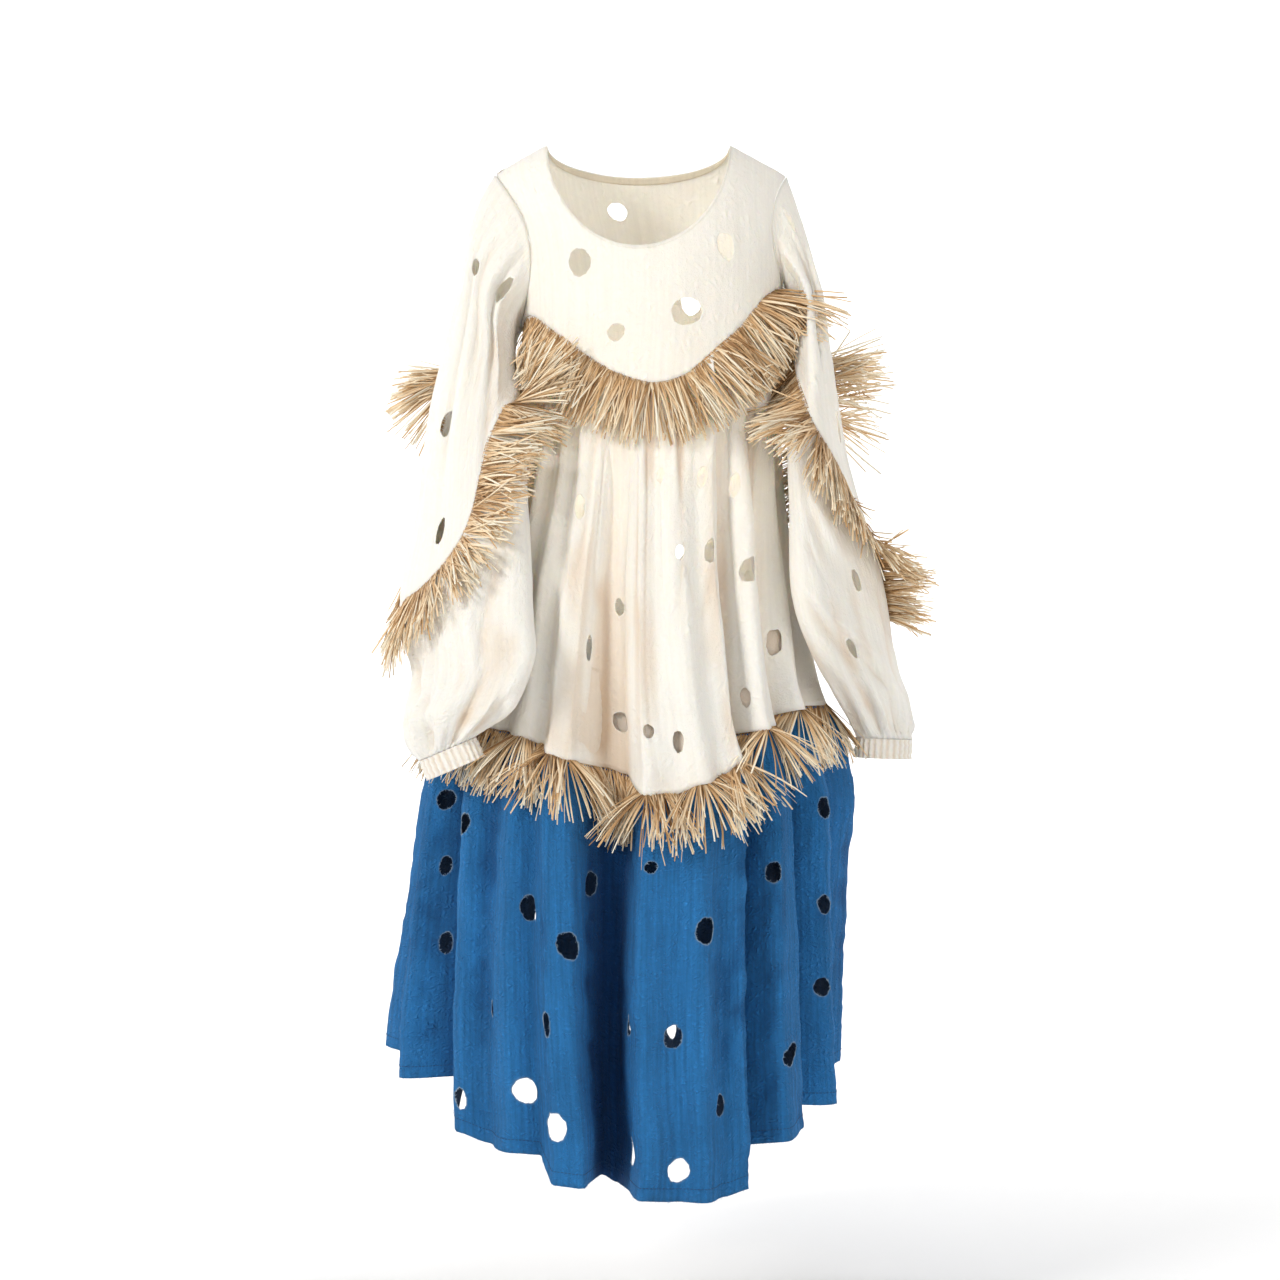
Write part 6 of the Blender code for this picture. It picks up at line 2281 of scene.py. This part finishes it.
@dataclass
class Studio:
    """The plain pale studio: floor, soft lights and camera."""

    floor_z: float = -1.50
    camera_at: tuple[float, float, float] = (0.002, -3.2, -0.6435)
    lens: float = 69.2
    air: float = 0.50
    warm: Colour = (1.0, 0.98, 0.95)
    glow: Colour = (1.0, 0.95, 0.88)

    def backdrop(self) -> None:
        """A pale floor that curves up into the wall behind."""
        turn = np.linspace(0, math.pi / 2, 16)
        radius, back, front, half_width, high = 2.0, 4.5, -5.0, 7.0, 7.0
        profile = [(front, self.floor_z)]
        profile += [(back + radius * math.sin(t), self.floor_z + radius * (1 - math.cos(t))) for t in turn]
        profile += [(back + radius, self.floor_z + high)]
        points = np.array([(x, y, z) for x in (-half_width, half_width) for y, z in profile])
        count = len(profile)
        i = np.arange(count - 1)
        quads = np.stack([i, i + count, i + count + 1, i + 1], axis=1)
        paper = Wiring("studio_paper")
        place = paper.node("ShaderNodeTexCoord").outputs["Object"]
        shade = paper.remap(paper.effect(Effect.mottle(), place, Patches=0.6, Flecks=40.0)["Shade"],
                            (0.3, 1.2), (0.0, 1.0))
        colour = paper.mix(shade, (0.93, 0.93, 0.93), (0.95, 0.95, 0.95))
        finish = paper.shaded(Base_Color=colour, Roughness=0.9)
        MeshParts("studio_floor", points, NO_TRIANGLES, quads).make(finish)

    @staticmethod
    def put(name: str, data: bpy.types.ID, place: Point, turn: Sequence[float] = (0.0, 0.0, 0.0)
            ) -> bpy.types.Object:
        """Put a lamp or the camera in the scene.

        Args:
            name: The name.
            data: The lamp's or the camera's data.
            place: Where it is.
            turn: How it is turned.

        Returns:
            The object.
        """
        made = bpy.data.objects.new(name, data)
        made.location = place
        made.rotation_euler = turn
        bpy.context.scene.collection.objects.link(made)
        return made

    def light(self, name: str, place: Point, aim: Point, size: float, power: float, colour: Colour) -> None:
        """A soft square light at place that looks at aim.

        Args:
            name: The name.
            place: Where it is.
            aim: What it looks at.
            size: The length of its sides.
            power: Its power in watts.
            colour: Its colour.
        """
        data = bpy.data.lights.new(name, "AREA")
        data.shape, data.size, data.energy, data.color = "SQUARE", size, power, colour
        self.put(name, data, place, (Vector(aim) - Vector(place)).to_track_quat("-Z", "Y").to_euler())

    def inner_light(self, name: str, place: Point, power: float) -> None:
        """A weak lamp inside the cloth, for the light that thin cotton lets through.

        Args:
            name: The name.
            place: Where it is.
            power: Its power in watts.
        """
        data = bpy.data.lights.new(name, "POINT")
        data.shadow_soft_size, data.energy, data.color = 0.03, power, self.glow
        self.put(name, data, place)

    def build(self) -> None:
        """Set up the studio."""
        self.backdrop()
        world = bpy.data.worlds.new("studio_air")
        world.use_nodes = True
        sky = world.node_tree.nodes["Background"].inputs
        sky["Color"].default_value, sky["Strength"].default_value = (1.0, 1.0, 1.0, 1.0), self.air
        scene = bpy.context.scene
        scene.world = world
        scene.view_settings.view_transform = "Standard"
        white = (1.0, 1.0, 1.0)
        for lamp in (("key", (-3.0, -2.6, 1.1), (0.0, 0.0, -0.6), 1.1, 98.0, self.warm),
                     ("fill", (2.4, -3.2, 0.0), (0.0, 0.0, -0.7), 2.4, 44.0, self.warm),
                     ("backdrop_left", (-3.6, 2.2, 1.6), (-0.8, 6.2, -0.4), 2.4, 190.0, white),
                     ("backdrop_right", (3.6, 2.2, 1.6), (0.8, 6.2, -0.4), 2.4, 190.0, white)):
            self.light(*lamp)
        for lamp in (("body_glow", (0.0, 0.0, -0.40), 0.55),
                     ("left_arm_glow", (-0.205, -0.030, -0.36), 0.05),
                     ("left_hand_glow", (-0.210, -0.06, -0.58), 0.05),
                     ("right_arm_glow", (0.228, -0.045, -0.36), 0.05),
                     ("right_hand_glow", (0.265, -0.06, -0.60), 0.05)):
            self.inner_light(*lamp)
        camera = bpy.data.cameras.new("camera")
        camera.lens, camera.sensor_width = self.lens, 36.0
        scene.camera = self.put("camera", camera, self.camera_at, (math.radians(90), 0.0, 0.0))


@dataclass
class Dress:
    """The whole dress."""

    body: Body = field(default_factory=Body)
    facing_from: float = 0.76
    facing_over: float = 0.225
    facing_inside: float = 0.010
    facing_height: float = 0.115
    facing_cut: float = 0.117
    blue_thread_gap: float = 0.0016
    hem_thread_gap: float = 0.0022
    cream_thread_gap: float = 0.0042
    neck_stitch_inset: float = 0.0042
    hem_stitch_line: float = 0.968

    def tier_relief(self, u: Array, v: Array) -> Array:
        """Gathers below the yoke that die out downwards, soft streaks and small crumples.

        Args:
            u: Metres across the flat cloth.
            v: Metres down the flat cloth.

        Returns:
            How far each place is raised.
        """
        top = soft_step(v / 0.02)
        gathers = lattice_noise(u / 0.0125, v / 0.26, 21) * 0.0054 * np.exp(-v / 0.24) * top
        streaks = lattice_noise(u / 0.024, v / 0.30, 22) * 0.0042 * top
        crumple = lattice_noise(u / 0.036, v / 0.05, 23) * 0.0016 * top
        crease = -0.0034 * np.clip(1 - 3.6 * np.abs(lattice_noise(u / 0.023, v / 0.19, 24)), 0, 1) * top
        lip = 0.0011 * soft_step((v - 0.480) / 0.02)
        return gathers + streaks * soft_step((0.52 - v) / 0.05) + crumple + crease * np.exp(-v / 0.5) + lip

    def skirt_relief(self, u: Array, v: Array) -> Array:
        """Soft pleats, crumples and the coarser crinkles of washed indigo cloth.

        Args:
            u: Metres across the flat cloth.
            v: Metres down the flat cloth.

        Returns:
            How far each place is raised.
        """
        top = soft_step(v / 0.03)
        pleats = lattice_noise(u / 0.034, v / 0.26, 31) * 0.0042 * top
        crumple = lattice_noise(u / 0.034, v / 0.028, 32) * 0.0016 * top
        crinkle = lattice_noise(u / 0.013, v / 0.0125, 33) * 0.0011 * top
        hem = lattice_noise(u / 0.05, v / 0.2, 34) * 0.0018 * soft_step((v - 0.43) / 0.04)
        return pleats + crumple + crinkle + hem

    def build(self) -> None:
        """Make every piece, cloth first and then what is sewn to it."""
        body = self.body
        yoke = Yoke(body)
        yoke.build()
        tier = Tier(body, "tier", body.tier, Cloth.CREAM, "cream_cotton", rows=76, columns=440,
                    scale=(0.070, 0.50), relief=self.tier_relief, fold_shade_columns=(Fold.TOP_OUT, Fold.TIER_OUT),
                    fold_shade_from=0.000, flat=(1.75, 0.50), ends=(0.0, 0.9988)).build()
        self.hem_facing()
        skirt = Tier(body, "skirt", body.skirt, Cloth.BLUE, "indigo_cotton", rows=74, columns=380,
                     scale=(0.085, 0.48), relief=self.skirt_relief,
                     fold_shade_columns=(Fold.TIER_OUT, Fold.HEM_OUT), fold_shade_from=0.004,
                     flat=(2.45, 0.47), ends=(0.0012, 1.0)).build()
        left = SleeveCloth(SleeveForm(body, -1, LEFT_RINGS, LEFT_SEAM, LEFT_CREASES, LEFT_FINE), "left")
        right = SleeveCloth(SleeveForm(body, 1, RIGHT_RINGS, RIGHT_SEAM, RIGHT_CREASES, RIGHT_FINE), "right")
        left.build()
        right.build()
        Fringes(body, yoke, tier, skirt, left, right).build()
        self.raw_edges(skirt, [tier, *yoke.cuts, *left.cuts, *right.cuts])
        self.stitches(yoke, skirt)

    def hem_facing(self) -> None:
        """A deep cream facing inside the cream hem, which shows through the holes there."""
        def surface(place: Array, share: Array) -> Array:
            """The facing, a little inside the tier.

            Args:
                place: Places in folds, counted round the body.
                share: How far down, from 0 to 1.

            Returns:
                The points.
            """
            seam = self.body.yoke_seam_z(self.body.fold_angle(place, TOP_LEVEL))
            reach = self.facing_from + self.facing_over * share
            z = seam + (self.body.fold_value(place, Fold.TIER_Z) - seam) * reach
            return self.body.on_folds(place, z, self.facing_inside)

        columns = ring_places(surface, 0.8, 0.0, float(len(self.body.folds)), 230)
        rows = np.linspace(0, 1, 15)
        # painted shade: the whole facing is darkened half-way towards the cream's fold shade colour
        cut = ClothCut("hem_facing_cloth", surface, box_outline(columns, rows), (0.05, 0.11),
                       inner_grid(columns, rows), columns=columns,
                       depth=lambda across, down: full(across, 0.5))
        cut.build(Cloth.CREAM, "cream_cotton")

    def raw_edges(self, skirt: ClothCut, creams: list[ClothCut]) -> None:
        """Threads at the torn holes and along the raw hem.

        Args:
            skirt: The blue cut.
            creams: The cream cuts.
        """
        blue = RawEdge("blue_frays", Cloth.BLUE_THREAD, 201)
        for edge in skirt.hole_edges:
            blue.around_hole(edge, self.blue_thread_gap)
        places = np.linspace(0, len(self.body.folds), 1600)
        ends = np.ones(len(places))
        hem = skirt.on_cloth(places, ends)
        above = skirt.on_cloth(places, ends - 0.004)
        blue.along_path(hem, unit(hem - above), self.hem_thread_gap)
        blue.build("indigo_cotton")
        cream = RawEdge("cream_frays", Cloth.CREAM_THREAD, 202, longest=0.0024)
        for cut in creams:
            for edge in cut.hole_edges:
                cream.around_hole(edge, self.cream_thread_gap)
        cream.build("cream_cotton")

    def stitches(self, yoke: Yoke, skirt: ClothCut) -> None:
        """Rows of stitches at the neck and above the blue hem.

        Args:
            yoke: The yoke.
            skirt: The blue cut.
        """
        cream = Stitching("cream_stitches", Cloth.CREAM_THREAD)
        for front, cut in zip((True, False), yoke.cuts):
            edge = yoke.neck_edge(front, 160)[1:-1]
            angle, fall = edge[:, 0], edge[:, 1] + self.neck_stitch_inset
            cream.run(cut.on_cloth(angle, fall, SHELL / 2), outward(self.body.yoke, angle, fall, 1))
        cream.build("cream_cotton")
        blue = Stitching("blue_hem_stitches", Cloth.INDIGO_THREAD, stitch=0.0030, gap=0.0014)
        places = np.linspace(0, len(self.body.folds), 2400)
        down = full(places, self.hem_stitch_line)
        blue.run(skirt.on_cloth(places, down, SHELL / 2 + 0.0002), outward(self.body.skirt, places, down, 1))
        blue.build("indigo_cotton")


@dataclass
class Fringes:
    """The six raffia fringes."""

    body: Body
    yoke: Yoke
    tier: ClothCut
    skirt: ClothCut
    left: SleeveCloth
    right: SleeveCloth

    @staticmethod
    def tree(*cuts: ClothCut) -> BVHTree:
        """A search tree of the outer face of some cuts.

        Args:
            cuts: The cuts.

        Returns:
            The tree.
        """
        points = [cut.middle + cut.out * SHELL / 2 for cut in cuts]
        firsts = np.cumsum([0, *(len(cut.middle) for cut in cuts)])
        triangles = [cut.triangles + first for cut, first in zip(cuts, firsts)]
        return BVHTree.FromPolygons(np.concatenate(points).tolist(), np.concatenate(triangles).tolist())

    def yoke_path(self, places: Array) -> tuple[Array, Array]:
        """The yoke seam."""
        angle = self.body.fold_angle(places, full(places, TOP_LEVEL))
        return angle, self.body.yoke_fall(angle, self.body.yoke_seam_z(angle))

    def hem_rise(self, places: Array) -> Array:
        """Strands stand out at the ridges and hang close in the recesses."""
        return 0.10 + 0.85 * soft_step((self.body.fold_value(places, Fold.TIER_OUT) - 0.002) / 0.030)

    def hem_spread(self, places: Array) -> Array:
        """Strands fan out from each ridge of the hem."""
        after, before = (self.body.fold_value(places + step, Fold.TIER_OUT) for step in (0.06, -0.06))
        return -0.62 * np.clip((after - before) / 0.009, -1, 1)

    @staticmethod
    def yoke_rise(places: Array) -> Array:
        """Strands lie close to the body under the sleeves."""
        return 0.02 + 0.20 * soft_step((places - 1.7) / 0.8) * soft_step((21.8 - places) / 0.8)

    @staticmethod
    def yoke_pull(places: Array) -> Array:
        """At the right end the strands spread out over the sleeve."""
        share = (soft_step((places - 18.6) / 2.0) * soft_step((21.6 - places) / 0.4))[:, None]
        return share * np.array([1.7, -0.45, 0.75])

    @staticmethod
    def left_pull(turns: Array) -> Array:
        """Behind the outer edge of the left sleeve the strands stand off to the side.

        Args:
            turns: Degrees round the sleeve.

        Returns:
            A vector for each strand.
        """
        share = soft_step((turns - 218) / 20) * soft_step((322 - turns) / 20)
        up = np.interp(turns, (225, 315), (1.9, -0.7))
        away = np.stack([full(turns, -2.6), full(turns, 0.0), up], axis=1)
        tangled = soft_step((turns - 480) / 36)[:, None] * np.array([0.20, -0.70, 1.50])
        return share[:, None] * away + tangled

    @staticmethod
    def right_pull(turns: Array) -> Array:
        """Round the outer edge of the right sleeve the strands stand off to the side.

        Args:
            turns: Degrees round the sleeve.

        Returns:
            A vector for each strand.
        """
        edge = soft_step((turns - 318) / 20) * soft_step((384 - turns) / 18)
        back = soft_step((turns - 215) / 20) * soft_step((300 - turns) / 20)
        tangled = soft_step((turns - 500) / 30)[:, None] * np.array([-0.2, -0.8, 0.7])
        stood = edge[:, None] * np.array([1.25, -0.1, 0.25]) + back[:, None] * np.array([2.0, 0.0, 0.5])
        return stood + tangled

    def build(self) -> None:
        """Make the fringes."""
        body, left, right = self.body, self.left, self.right
        below = self.tree(self.tier, *self.yoke.cuts, left.cuts[0], right.cuts[0])
        Fringe("yoke_front", body.yoke, self.yoke_path, 0.7, 22.3, 1000, 101, droop=0.22,
               rise=self.yoke_rise, pull=self.yoke_pull, pull_spread=(0.0, 1.35)).build(below)
        Fringe("yoke_back", body.yoke, self.yoke_path, 24.33, 33.7, 620, 102, droop=0.22).build(below)
        below = self.tree(self.skirt, self.tier)
        for name, low, high, strands, seed in (("hem_front", 0.0, 23.0, 1450, 103),
                                               ("hem_back", 23.0, 35.0, 850, 104)):
            Fringe(name, body.tier, lambda places: (places, np.ones(len(places))), low, high, strands, seed,
                   droop=0.30, rise=self.hem_rise, along_cloth=True, spread=self.hem_spread).build(below)
        for sleeve, low, high, seed, pull in ((left, 205.0, 544.0, 105, self.left_pull),
                                              (right, 205.0, 558.0, 106, self.right_pull)):
            def seam_path(turns: Array, form: SleeveForm = sleeve.form) -> tuple[Array, Array]:
                """The sleeve's fringed seam."""
                return turns, form.seam_section(turns)

            Fringe(f"sleeve_{sleeve.name}", sleeve.form.point, seam_path, low, high, 1320, seed,
                   hand=sleeve.hand, length=(0.074, 0.096), droop=0.10, pull=pull
                   ).build(self.tree(*sleeve.cuts))


def main() -> None:
    """Dress the CAD frame and set up the studio."""
    logging.basicConfig(level=logging.INFO, format="%(message)s")
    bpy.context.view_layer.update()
    Studio().build()
    Dress().build()


if __name__ == "__main__":
    main()
